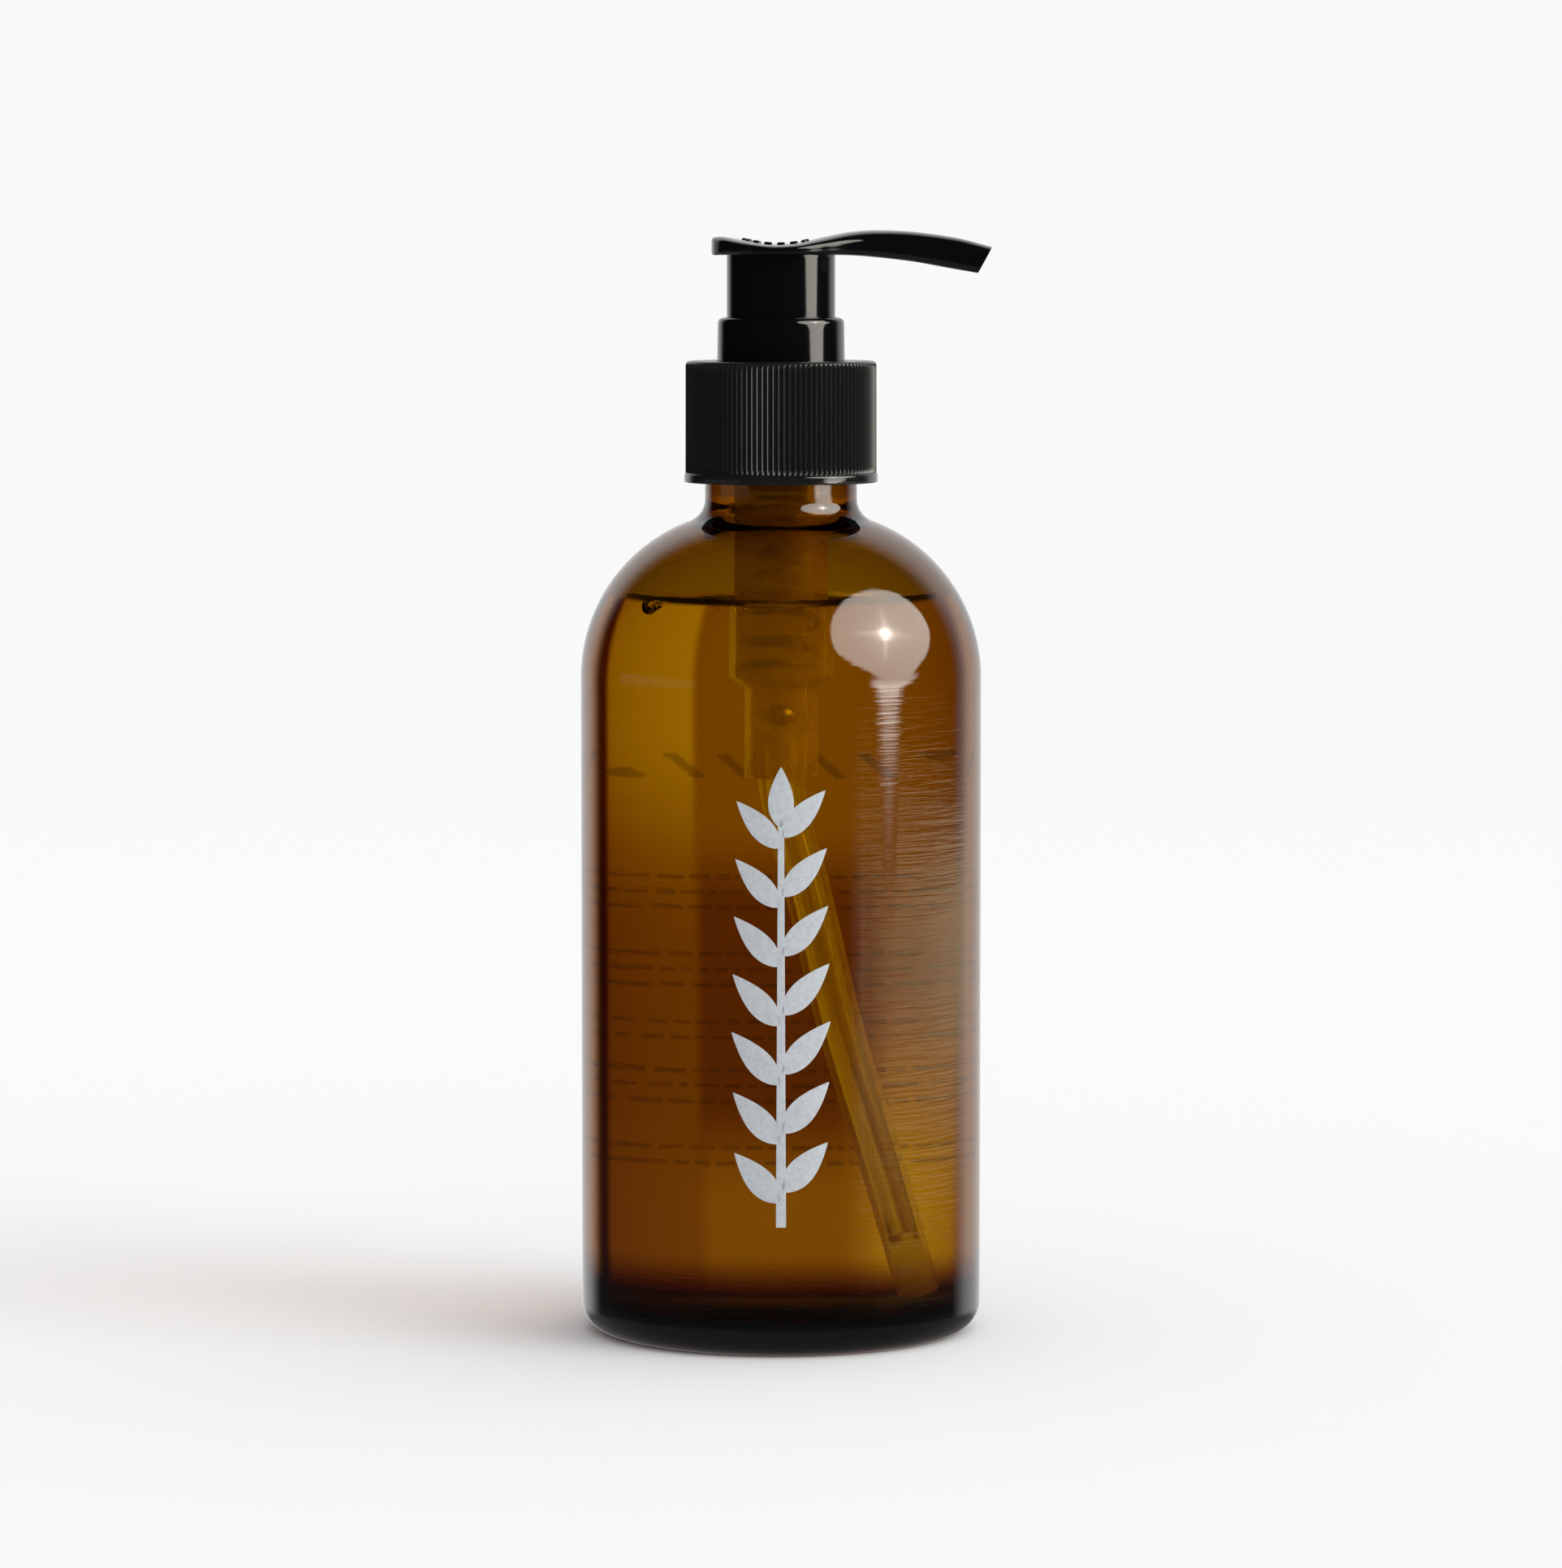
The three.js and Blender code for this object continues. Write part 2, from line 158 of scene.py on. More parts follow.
class NodeSheet:
    """One node tree, cleared and filled again."""

    def __init__(self, tree: bpy.types.NodeTree) -> None:
        """Clears the tree."""
        self.tree = tree
        tree.nodes.clear()

    def add(
        self,
        kind: str,
        settings: Optional[dict[str, Any]] = None,
        inputs: Optional[dict[Union[str, int], Any]] = None,
    ) -> bpy.types.Node:
        """Adds one node.

        Args:
            kind: The node's type.
            settings: Its settings, which are set first.
            inputs: A value, a socket or a Value for each named or numbered input.

        Returns:
            The node.
        """
        node = self.tree.nodes.new(kind)
        for key, setting in (settings or {}).items():
            setattr(node, key, setting)
        for key, given in (inputs or {}).items():
            source = given.socket if isinstance(given, Value) else given
            if isinstance(source, bpy.types.NodeSocket):
                self.tree.links.new(source, node.inputs[key])
            else:
                node.inputs[key].default_value = source
        return node

    def value(
        self,
        kind: str,
        output: Union[str, int],
        settings: Optional[dict[str, Any]] = None,
        inputs: Optional[dict[Union[str, int], Any]] = None,
    ) -> Value:
        """Adds one node and wraps one of its outputs."""
        return Value(self, self.add(kind, settings, inputs).outputs[output])

    def place(self) -> bpy.types.NodeSocket:
        """The object's own coordinates, in metres."""
        return self.add("ShaderNodeTexCoord").outputs["Object"]

    def axes(self, vector: bpy.types.NodeSocket) -> list[Value]:
        """The three numbers of a vector."""
        parts = self.add("ShaderNodeSeparateXYZ", inputs={0: vector})
        return [Value(self, socket) for socket in parts.outputs]

    def noise(
        self, scale: float, stretch: tuple[float, float, float] = (1, 1, 1), detail: float = 3
    ) -> Value:
        """Noise over the piece.

        Args:
            scale: Features in a metre.
            stretch: How much finer it is along each axis.
            detail: Octaves of finer noise.

        Returns:
            A value around 0.5.
        """
        spread = self.add("ShaderNodeMapping", inputs={"Vector": self.place(), "Scale": stretch})
        inputs = {"Vector": spread.outputs[0], "Scale": scale, "Detail": detail}
        return self.value("ShaderNodeTexNoise", "Fac", inputs=inputs)

    def bump(self, height: Value, distance: float, strength: float = 1.0) -> bpy.types.NodeSocket:
        """A normal from a height between 0 and 1 that stands for a distance in metres."""
        inputs = {"Height": height, "Distance": distance, "Strength": strength}
        return self.add("ShaderNodeBump", inputs=inputs).outputs[0]

    def blend(self, share: Union[Value, float], low: Any, high: Any) -> bpy.types.NodeSocket:
        """A colour between two colours."""
        inputs = {"Factor": share, "A": low, "B": high}
        mix = self.add("ShaderNodeMix", {"data_type": "RGBA"})
        for key, given in inputs.items():
            kind = "VALUE" if key == "Factor" else "RGBA"
            socket = next(s for s in mix.inputs if s.name == key and s.type == kind)
            source = given.socket if isinstance(given, Value) else given
            if isinstance(source, bpy.types.NodeSocket):
                self.tree.links.new(source, socket)
            else:
                socket.default_value = source
        return next(s for s in mix.outputs if s.type == "RGBA")

    def mix(self, share: Any, low: bpy.types.Node, high: bpy.types.Node) -> bpy.types.Node:
        """A shader between two shaders."""
        return self.add("ShaderNodeMixShader", inputs={0: share, 1: low.outputs[0], 2: high.outputs[0]})

    def surface(self, shader: bpy.types.Node, volume: Optional[bpy.types.Node] = None) -> None:
        """Joins a shader, and what fills the piece, to the output."""
        inputs = {"Surface": shader.outputs[0]}
        if volume is not None:
            inputs["Volume"] = volume.outputs[0]
        self.add("ShaderNodeOutputMaterial", inputs=inputs)


def rgba(red: float, green: float, blue: float) -> tuple[float, float, float, float]:
    """An opaque linear colour."""
    return (red, green, blue, 1.0)


# ---------------------------------------------------------------------------
# Finishes
# ---------------------------------------------------------------------------


@dataclass(frozen=True)
class Finish:
    """A named material. Each kind fills its own node sheet."""

    name: str

    def sheet(self) -> tuple[bpy.types.Material, NodeSheet]:
        """A new material and its empty sheet."""
        material = bpy.data.materials.new(self.name)
        material.use_nodes = True
        return material, NodeSheet(material.node_tree)

    def make(self) -> bpy.types.Material:
        """The finished material."""
        raise NotImplementedError


@dataclass(frozen=True)
class AmberGlass(Finish):
    """Bottle glass, tinted by the depth of glass that light crosses.

    Where the attribute wetted is 1 the wall meets oil, so it bends light only a little. Towards the base its
    colour is darkened, which is painted shade.
    """

    index: float = 1.52
    wet_index: float = 1.034
    tint: tuple[float, float, float, float] = rgba(0.847, 0.737, 0.02)
    density: float = 1430.0
    # Painted shade: the grey that darkens the glass's colour near its base.
    painted_heel_shade: tuple[float, float, float, float] = rgba(0.42, 0.36, 0.3)
    shadow_tint: tuple[float, float, float, float] = rgba(0.9, 0.76, 0.5)

    def make(self) -> bpy.types.Material:
        """Two glasses mixed by the wetted mask, over an absorbing volume."""
        material, sheet = self.sheet()
        wave = sheet.noise(50, (1, 1, 7), 2) * 0.5 + sheet.noise(420, (0.25, 0.25, 6), 3) * 0.45
        normal = sheet.bump(wave, 0.00006, 0.3)
        height = sheet.axes(sheet.place())[2]
        # Painted shade: the glass's colour turns darker below about 10 mm, towards the base.
        shade = sheet.blend(height.step(0.0098, 0.0035), rgba(1, 1, 1), self.painted_heel_shade)
        dry, wet = (
            sheet.add(
                "ShaderNodeBsdfPrincipled",
                inputs={
                    "Base Color": shade,
                    "Roughness": 0.0,
                    "IOR": index,
                    "Transmission Weight": 1.0,
                    "Normal": normal,
                },
            )
            for index in (self.index, self.wet_index)
        )
        wetted = sheet.value("ShaderNodeAttribute", "Fac", {"attribute_name": "wetted"})
        glass = sheet.mix(wetted, dry, wet)
        lit = sheet.add("ShaderNodeBsdfTransparent", inputs={"Color": self.shadow_tint})
        shadow = sheet.value("ShaderNodeLightPath", "Is Shadow Ray")
        inside = sheet.add("ShaderNodeVolumeAbsorption", inputs={"Color": self.tint, "Density": self.density})
        sheet.surface(sheet.mix(shadow, glass, lit), inside)
        return material


@dataclass(frozen=True)
class ClearLiquid(Finish):
    """Oil. Only its free surface bends light, because the wall that it wets already does."""

    index: float = 1.47

    def make(self) -> bpy.types.Material:
        """Glass where the attribute free_surface is 1, and nothing elsewhere."""
        material, sheet = self.sheet()
        wet = sheet.add("ShaderNodeBsdfTransparent")
        free = sheet.add(
            "ShaderNodeBsdfPrincipled",
            inputs={
                "Base Color": rgba(1, 1, 1),
                "Roughness": 0.0,
                "IOR": self.index,
                "Transmission Weight": 1.0,
            },
        )
        share = sheet.value("ShaderNodeAttribute", "Fac", {"attribute_name": "free_surface"})
        shadow = sheet.value("ShaderNodeLightPath", "Is Shadow Ray")
        sheet.surface(sheet.mix(share * (1 - shadow), wet, free))
        return material


@dataclass(frozen=True)
class CloudyPlastic(Finish):
    """Undyed moulded plastic: clear with a milky body. Oil outside it hides its outer skin."""

    index: float = 1.49
    wet_index: float = 1.02
    milk: float = 0.35
    roughness: float = 0.12
    colour: tuple[float, float, float, float] = rgba(0.9, 0.88, 0.82)

    def make(self) -> bpy.types.Material:
        """Clear plastic, mixed with a little translucent white."""
        material, sheet = self.sheet()
        grain = sheet.noise(900, detail=2)
        normal = sheet.bump(grain, 0.00002, 0.3)
        dry, wet = (
            sheet.add(
                "ShaderNodeBsdfPrincipled",
                inputs={
                    "Base Color": rgba(1, 1, 1),
                    "Roughness": self.roughness,
                    "IOR": index,
                    "Transmission Weight": 1.0,
                    "Normal": normal,
                },
            )
            for index in (self.index, self.wet_index)
        )
        wetted = sheet.value("ShaderNodeAttribute", "Fac", {"attribute_name": "wetted"})
        clear = sheet.mix(wetted, dry, wet)
        milky = sheet.mix(
            0.5,
            sheet.add("ShaderNodeBsdfTranslucent", inputs={"Color": self.colour}),
            sheet.add("ShaderNodeBsdfDiffuse", inputs={"Color": self.colour}),
        )
        body = sheet.mix(sheet.noise(300) * 0.15 + (self.milk - 0.075), clear, milky)
        lit = sheet.add("ShaderNodeBsdfTransparent", inputs={"Color": self.colour})
        shadow = sheet.value("ShaderNodeLightPath", "Is Shadow Ray")
        sheet.surface(sheet.mix(shadow, body, lit))
        return material


@dataclass(frozen=True)
class MouldedPlastic(Finish):
    """Opaque moulded plastic with a faint grain, handling marks and slow changes of gloss.

    It is polished below a height, in metres.
    """

    colour: tuple[float, float, float, float]
    roughness: float
    spread: float = 0.04
    grain: float = 0.000004
    grain_scale: float = 2500
    sleek_below: float = -1.0

    def make(self) -> bpy.types.Material:
        """One principled shader, its roughness and normal from noise."""
        material, sheet = self.sheet()
        smear = sheet.noise(45, detail=5)
        fine = sheet.noise(self.grain_scale, detail=2)
        gloss = sheet.noise(700, (1, 1, 6), 3).step(0.55, 0.8)
        dark = tuple(channel * 0.8 for channel in self.colour[:3])
        sleek = sheet.axes(sheet.place())[2].step(self.sleek_below + 0.0002, self.sleek_below) * -0.7 + 1
        matt = smear * self.spread + gloss * (self.spread / 2) + (self.roughness - self.spread / 2)
        sheet.surface(
            sheet.add(
                "ShaderNodeBsdfPrincipled",
                inputs={
                    "Base Color": sheet.blend(smear, rgba(*dark), self.colour),
                    "Roughness": matt * sleek,
                    "Normal": sheet.bump(fine, self.grain, 0.5),
                },
            )
        )
        return material


@dataclass(frozen=True)
class PrintedInk(Finish):
    """Screen-printed silver white ink, with the weave of the screen and thin spots.

    An ink with little cover lets light through.
    """

    cover: float = 1.0
    colour: tuple[float, float, float, float] = rgba(0.6, 0.635, 0.67)
    thread: float = 0.0004

    def make(self) -> bpy.types.Material:
        """Ink whose height and tone follow a fine square weave."""
        material, sheet = self.sheet()
        across, _, up = sheet.axes(sheet.place())
        rate = TAU / self.thread
        weave = (across * rate).math("SINE") * (up * rate).math("SINE") * 0.5 + 0.5
        worn = sheet.noise(1600, detail=4)
        thin = worn.step(0.35, 0.6)
        tone = weave * 0.18 + thin * 0.5 + sheet.noise(120) * 0.3
        shade = tuple(channel * 0.8 for channel in self.colour[:3])
        sheet.surface(
            sheet.add(
                "ShaderNodeBsdfPrincipled",
                inputs={
                    "Base Color": sheet.blend(tone, rgba(*shade), self.colour),
                    "Roughness": worn * 0.2 + 0.4,
                    "Metallic": 0.15,
                    "Normal": sheet.bump(weave * 0.5 + worn * 0.5, 0.00003, 0.5),
                    "Alpha": self.cover,
                },
            )
        )
        return material


@dataclass(frozen=True)
class DrawnSteel(Finish):
    """Drawn steel wire or a ground ball, with fine marks."""

    def make(self) -> bpy.types.Material:
        """Metal with fine scratches in its roughness."""
        material, sheet = self.sheet()
        marks = sheet.noise(3000, (1, 1, 5), 4)
        sheet.surface(
            sheet.add(
                "ShaderNodeBsdfPrincipled",
                inputs={
                    "Base Color": sheet.blend(marks, rgba(0.5, 0.5, 0.5), rgba(0.68, 0.68, 0.69)),
                    "Metallic": 1.0,
                    "Roughness": marks * 0.2 + 0.12,
                    "Normal": sheet.bump(marks, 0.000005, 0.4),
                },
            )
        )
        return material


@dataclass(frozen=True)
class FoamSheet(Finish):
    """The closed-cell liner under the pump's flange."""

    def make(self) -> bpy.types.Material:
        """Small cells as a Voronoi bump, with paler walls."""
        material, sheet = self.sheet()
        cells = sheet.value(
            "ShaderNodeTexVoronoi", "Distance", inputs={"Vector": sheet.place(), "Scale": 4500}
        )
        sheet.surface(
            sheet.add(
                "ShaderNodeBsdfPrincipled",
                inputs={
                    "Base Color": sheet.blend(cells, rgba(0.86, 0.85, 0.81), rgba(0.7, 0.69, 0.65)),
                    "Roughness": cells * 0.2 + 0.7,
                    "Normal": sheet.bump(cells, 0.00004, 0.6),
                },
            )
        )
        return material


GLOSS_BLACK = MouldedPlastic("gloss_black_plastic", rgba(0.0035, 0.0035, 0.004), 0.07, 0.05, 0.0000012, 600)
WHITE = MouldedPlastic("white_moulded_plastic", rgba(0.8, 0.8, 0.78), 0.3, 0.08)


# ---------------------------------------------------------------------------
# Surfaces
# ---------------------------------------------------------------------------


def arc(centre: tuple[float, float], radius: float, start: float, end: float, steps: int) -> Array:
    """Points of a circle's arc in the (radius, height) plane, from one angle in degrees to another."""
    angle = np.radians(np.linspace(start, end, steps + 1))
    return np.stack([centre[0] + radius * np.cos(angle), centre[1] + radius * np.sin(angle)], axis=1)


def rounded(corners: Sequence[tuple[float, float, float]], steps: int = 6) -> Array:
    """A closed outline whose corners are arcs.

    Each arc is a quadratic curve from one tangent point to the other, a corner's radius away from it.

    Args:
        corners: Radius from the axis, height, and size of the rounding, in order.
        steps: Spans in each rounding.

    Returns:
        Points of shape (n, 2).
    """
    place = np.array([corner[:2] for corner in corners], float)
    size = np.array([corner[2] for corner in corners], float)
    runs = []
    for before, here, after, reach in zip(np.roll(place, 1, 0), place, np.roll(place, -1, 0), size):
        if reach <= 0:
            runs.append(here[None])
            continue
        start = here + (before - here) / np.linalg.norm(before - here) * reach
        end = here + (after - here) / np.linalg.norm(after - here) * reach
        t = np.linspace(0, 1, steps + 1)[:, None]
        runs.append((1 - t) ** 2 * start + 2 * t * (1 - t) * here + t**2 * end)
    return np.concatenate(runs)


def densely(outline: Array, longest: float, closed: bool = True) -> Array:
    """The outline with its long straight spans divided evenly."""
    ends = np.roll(outline, -1, 0) if closed else outline[1:]
    runs = []
    for start, end in zip(outline, ends):
        count = max(1, math.ceil(float(np.linalg.norm(end - start)) / longest))
        runs.append(start + (end - start) * np.linspace(0, 1, count, endpoint=False)[:, None])
    if not closed:
        runs.append(outline[-1:])
    return np.concatenate(runs)


def turned(
    outline: Array, segments: int, swell: Optional[Callable[[Array, Array, Array], Array]] = None
) -> Array:
    """Carries an outline round the axis: (r cos a, r sin a, z).

    Args:
        outline: Points (r, z), up the outside and down the inside.
        segments: Columns round the axis.
        swell: What to add to r, from the arrays r, z and the angle.

    Returns:
        Points of shape (rows, segments, 3).
    """
    angle = np.arange(segments) * TAU / segments
    radius = np.broadcast_to(outline[:, :1], (len(outline), segments))
    height = np.broadcast_to(outline[:, 1:], radius.shape)
    angles = np.broadcast_to(angle, radius.shape)
    if swell is not None:
        radius = radius + swell(radius, height, angles)
    return np.stack([radius * np.cos(angles), radius * np.sin(angles), height], axis=2)


def thread_rise(
    height: Array, angle: Array, start: float, pitch: float, turns: float, root: float, crest: float
) -> Array:
    """How far a helical thread stands up, from 0 to 1, at a height and an angle.

    The ridge's middle climbs one pitch a turn. Its flanks fall from crest to root half widths, and
    its ends fade.

    Args:
        height: Heights of the points.
        angle: Angles of the points, from 0 to one turn.
        start: Height of the middle of the ridge at angle 0.
        pitch: Climb in one turn.
        turns: Length of the ridge in turns.
        root: Half width at its foot.
        crest: Half width at its top.

    Returns:
        An array between 0 and 1.
    """
    rise = np.zeros_like(height)
    for turn in range(math.ceil(turns)):
        along = angle / TAU + turn
        distance = np.abs(height - start - pitch * along)
        flank = np.clip((root - distance) / (root - crest), 0, 1)
        fade = np.clip(np.minimum(along, turns - along) * 12, 0, 1)
        rise = np.maximum(rise, flank * fade)
    return rise


def skin(
    name: str, grids: Sequence[Array], closed_rows: Sequence[bool], sharp: float = 32.0
) -> bpy.types.Object:
    """Makes one object from grids of points whose columns close on themselves.

    Rows either close on themselves too, or end in flat fans round each end row's middle.

    Args:
        name: The piece's name.
        grids: Arrays of shape (rows, columns, 3), in millimetres.
        closed_rows: Whether each grid's rows close on themselves.
        sharp: Edges that turn by more degrees than this stay crisp.

    Returns:
        The new object, at the origin.
    """
    points, quads, fans, base = [], [], [], 0
    for grid, loop in zip(grids, closed_rows):
        rows, columns = grid.shape[:2]
        index = base + np.arange(rows * columns).reshape(rows, columns)
        after = np.roll(index, -1, 1)
        low, high = (index, np.roll(index, -1, 0)) if loop else (index[:-1], index[1:])
        low_after, high_after = (after, np.roll(after, -1, 0)) if loop else (after[:-1], after[1:])
        quads.append(np.stack([low, low_after, high_after, high], axis=2).reshape(-1, 4))
        points.append(grid.reshape(-1, 3))
        base += rows * columns
        if not loop:
            points.append(np.stack([grid[0].mean(0), grid[-1].mean(0)]))
            first = np.full(columns, base)
            fans.append(np.stack([first, after[0], index[0]], axis=1))
            fans.append(np.stack([first + 1, index[-1], after[-1]], axis=1))
            base += 2
    fan = np.concatenate(fans) if fans else np.zeros((0, 3), int)
    quad = np.concatenate(quads)
    return mesh_piece(name, np.concatenate(points) * MM, quad, fan, sharp)


def mesh_piece(name: str, points: Array, quads: Array, triangles: Array, sharp: float) -> bpy.types.Object:
    """Writes whole arrays of points and faces into a new object."""
    mesh = bpy.data.meshes.new(name)
    corners = np.concatenate([quads.ravel(), triangles.ravel()]).astype(np.int32)
    sizes = np.concatenate([np.full(len(quads), 4), np.full(len(triangles), 3)]).astype(np.int32)
    starts = np.concatenate([[0], np.cumsum(sizes)[:-1]]).astype(np.int32)
    mesh.vertices.add(len(points))
    mesh.vertices.foreach_set("co", points.astype(np.float32).ravel())
    mesh.loops.add(len(corners))
    mesh.loops.foreach_set("vertex_index", corners)
    mesh.polygons.add(len(sizes))
    mesh.polygons.foreach_set("loop_start", starts)
    mesh.polygons.foreach_set("loop_total", sizes)
    mesh.polygons.foreach_set("use_smooth", np.ones(len(sizes), bool))
    mesh.update(calc_edges=True)
    mesh.validate()
    mesh.set_sharp_from_angle(angle=math.radians(sharp))
    piece = bpy.data.objects.new(name, mesh)
    bpy.context.scene.collection.objects.link(piece)
    return piece


def mark(piece: bpy.types.Object, name: str, rule: Callable[[Array], Array]) -> None:
    """Stores a number on each point of a piece, worked out from its place in millimetres."""
    mesh = piece.data
    place = np.empty(len(mesh.vertices) * 3, np.float32)
    mesh.vertices.foreach_get("co", place)
    layer = mesh.attributes.new(name, "FLOAT", "POINT")
    layer.data.foreach_set("value", rule(place.reshape(-1, 3) / MM).astype(np.float32))


def tube(centre: Array, side: Array, lift: Array, radius: Array, columns: int) -> Array:
    """Circles carried along a path: centre + r (cos a side + sin a lift).

    Args:
        centre: Path points of shape (rows, 3).
        side: First unit vector of each circle.
        lift: Second unit vector of each circle, so that side, lift and the path are right-handed.
        radius: Radius at each row.
        columns: Points round each circle.

    Returns:
        Points of shape (rows, columns, 3).
    """
    angle = np.arange(columns) * TAU / columns
    reach = radius[:, None, None]
    round_ = np.cos(angle)[None, :, None] * side[:, None] + np.sin(angle)[None, :, None] * lift[:, None]
    return centre[:, None] + reach * round_


class Workshop:
    """Dresses pieces, puts them on their bodies and keeps one copy of each material."""

    def __init__(self) -> None:
        """Starts with no materials."""
        self.made: dict[str, bpy.types.Material] = {}

    def material(self, finish: Finish) -> bpy.types.Material:
        """The material of a finish, made once."""
        if finish.name not in self.made:
            self.made[finish.name] = finish.make()
        return self.made[finish.name]

    def fit(
        self, piece: bpy.types.Object, finish: Finish, body: Body, replaces: Sequence[str] = ()
    ) -> bpy.types.Object:
        """Dresses a new piece and puts it on its body.

        Args:
            piece: The object.
            finish: Its material.
            body: The body that it rides on.
            replaces: CAD nodes that it stands for.

        Returns:
            The same object.
        """
        piece.data.materials.clear()
        piece.data.materials.append(self.material(finish))
        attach(piece, body.value)
        if replaces:
            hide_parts(*replaces)
        LOG.info("%s: %d points on %s", piece.name, len(piece.data.vertices), body.value)
        return piece


# ---------------------------------------------------------------------------
# Bottle, oil and print
# ---------------------------------------------------------------------------


@dataclass
class GlassBottle:
    """The round-shouldered bottle, in millimetres."""

    radius: float
    lip_z: float
    wall: float = 2.65
    heel: float = 4.3
    inner_heel: float = 6.0
    floor: float = 4.4
    floor_rise: float = 0.7
    shoulder_z: float = 99.5
    shoulder_arc: float = 25.3
    neck: float = 11.5
    neck_fillet: float = 3.6
    bore: float = 8.25
    finish_z: float = 129.8
    finish: float = 10.9
    lip_round: float = 0.7
    thread_start: float = 133.2
    thread_pitch: float = 3.175
    segments: int = 192

    @property
    def shoulder_centre(self) -> float:
        """Distance from the axis to the middle of the shoulder's arc."""
        return self.radius - self.shoulder_arc

    @property
    def inner_radius(self) -> float:
        """Radius of the hollow."""
        return self.radius - self.wall

    def outside(self) -> Array:
        """The outside, from the base to the lip: heel, wall, shoulder arc, neck fillet and finish."""
        fillet = self.neck + self.neck_fillet
        rise = math.sqrt((self.shoulder_arc + self.neck_fillet) ** 2 - (fillet - self.shoulder_centre) ** 2)
        tangent = math.degrees(math.atan2(rise, fillet - self.shoulder_centre))
        heel = self.radius - self.heel
        lip = self.lip_z - self.lip_round
        return np.concatenate(
            [
                [[0.5, 0.5], [14, 0.45], [20, 0.2], [22.5, 0.0], [heel - 1, 0.0]],
                arc((heel, self.heel), self.heel, -90, 0, 16),
                arc((self.shoulder_centre, self.shoulder_z), self.shoulder_arc, 0, tangent, 48),
                arc((fillet, self.shoulder_z + rise), self.neck_fillet, tangent + 180, 180, 14)[1:],
                [[self.neck, self.finish_z], [self.finish, self.finish_z + 0.6]],
                arc((self.finish - self.lip_round, lip), self.lip_round, 0, 90, 6),
            ]
        )

    def inside(self, inset: float = 0.0) -> Array:
        """The outline of the hollow, from the lip down to the floor's middle, a little inside the wall."""
        arc_radius = self.shoulder_arc - self.wall - inset
        turn = math.acos((self.bore + 3.2 - self.shoulder_centre) / arc_radius)
        start = np.array([self.bore + 3.2, self.shoulder_z + arc_radius * math.sin(turn)])
        knee = np.array([self.bore, start[1] + 3.2 / math.tan(turn)])
        t = np.linspace(1, 0, 13)[:, None]
        bend = (1 - t) ** 2 * start + 2 * t * (1 - t) * knee + t**2 * (knee + [0, 3.2])
        lip = self.lip_z - self.lip_round
        corner = self.inner_radius - self.inner_heel
        crown = self.floor + inset
        across = np.linspace(corner, 0.5, 16)[1:]
        dome = crown + self.floor_rise * (1 - (across / corner) ** 2) ** 2
        return np.concatenate(
            [
                arc((self.bore + self.lip_round, lip), self.lip_round, 90, 180, 6),
                bend[:-1],
                arc((self.shoulder_centre, self.shoulder_z), arc_radius, math.degrees(turn), 0, 44),
                arc((corner, crown + self.inner_heel), self.inner_heel - inset, 0, -90, 14),
                np.stack([across, dome], axis=1),
            ]
        )

    def thread(self, radius: Array, height: Array, angle: Array) -> Array:
        """The thread's height on the finish, and nothing elsewhere."""
        on_finish = (np.abs(radius - self.finish) < 0.05).astype(float)
        return on_finish * thread_rise(height, angle, self.thread_start, self.thread_pitch, 1.5, 0.9, 0.4)

    def build(self, shop: Workshop, oil_z: float) -> None:
        """Makes the glass, wetted up to the oil's level."""
        outline = densely(np.concatenate([self.outside(), self.inside()]), 1.6, closed=False)
        above = outline[:, 1] > self.finish_z
        first, last = np.argmax(above), len(above) - np.argmax(above[::-1])
        threaded = densely(outline[above], 0.2, closed=False)
        outline = np.concatenate([outline[:first], threaded, outline[last:]])
        piece = skin("amber_glass_bottle", [turned(outline, self.segments, self.thread)], [False], 40)
        reach = self.inner_radius + 0.5

        def wetted(place: Array) -> Array:
            """1 on the hollow's wall under the oil, 0 elsewhere."""
            radius = np.hypot(place[:, 0], place[:, 1])
            limit = np.where(place[:, 2] > self.shoulder_z, self.inner_limit(place[:, 2]), reach)
            inside = (radius < limit) & (place[:, 2] > self.floor - 1) & (place[:, 2] < oil_z + 0.9)
            return inside.astype(float)

        mark(piece, "wetted", wetted)
        shop.fit(piece, AmberGlass("amber_glass"), Body.BOTTLE, ["bottle_glass"])

    def inner_limit(self, height: Array) -> Array:
        """Radius of a surface halfway through the shoulder's wall."""
        arc_radius = self.shoulder_arc - self.wall / 2
        rise = np.clip(height - self.shoulder_z, 0, arc_radius)
        return self.shoulder_centre + np.sqrt(np.maximum(arc_radius**2 - rise**2, 0))


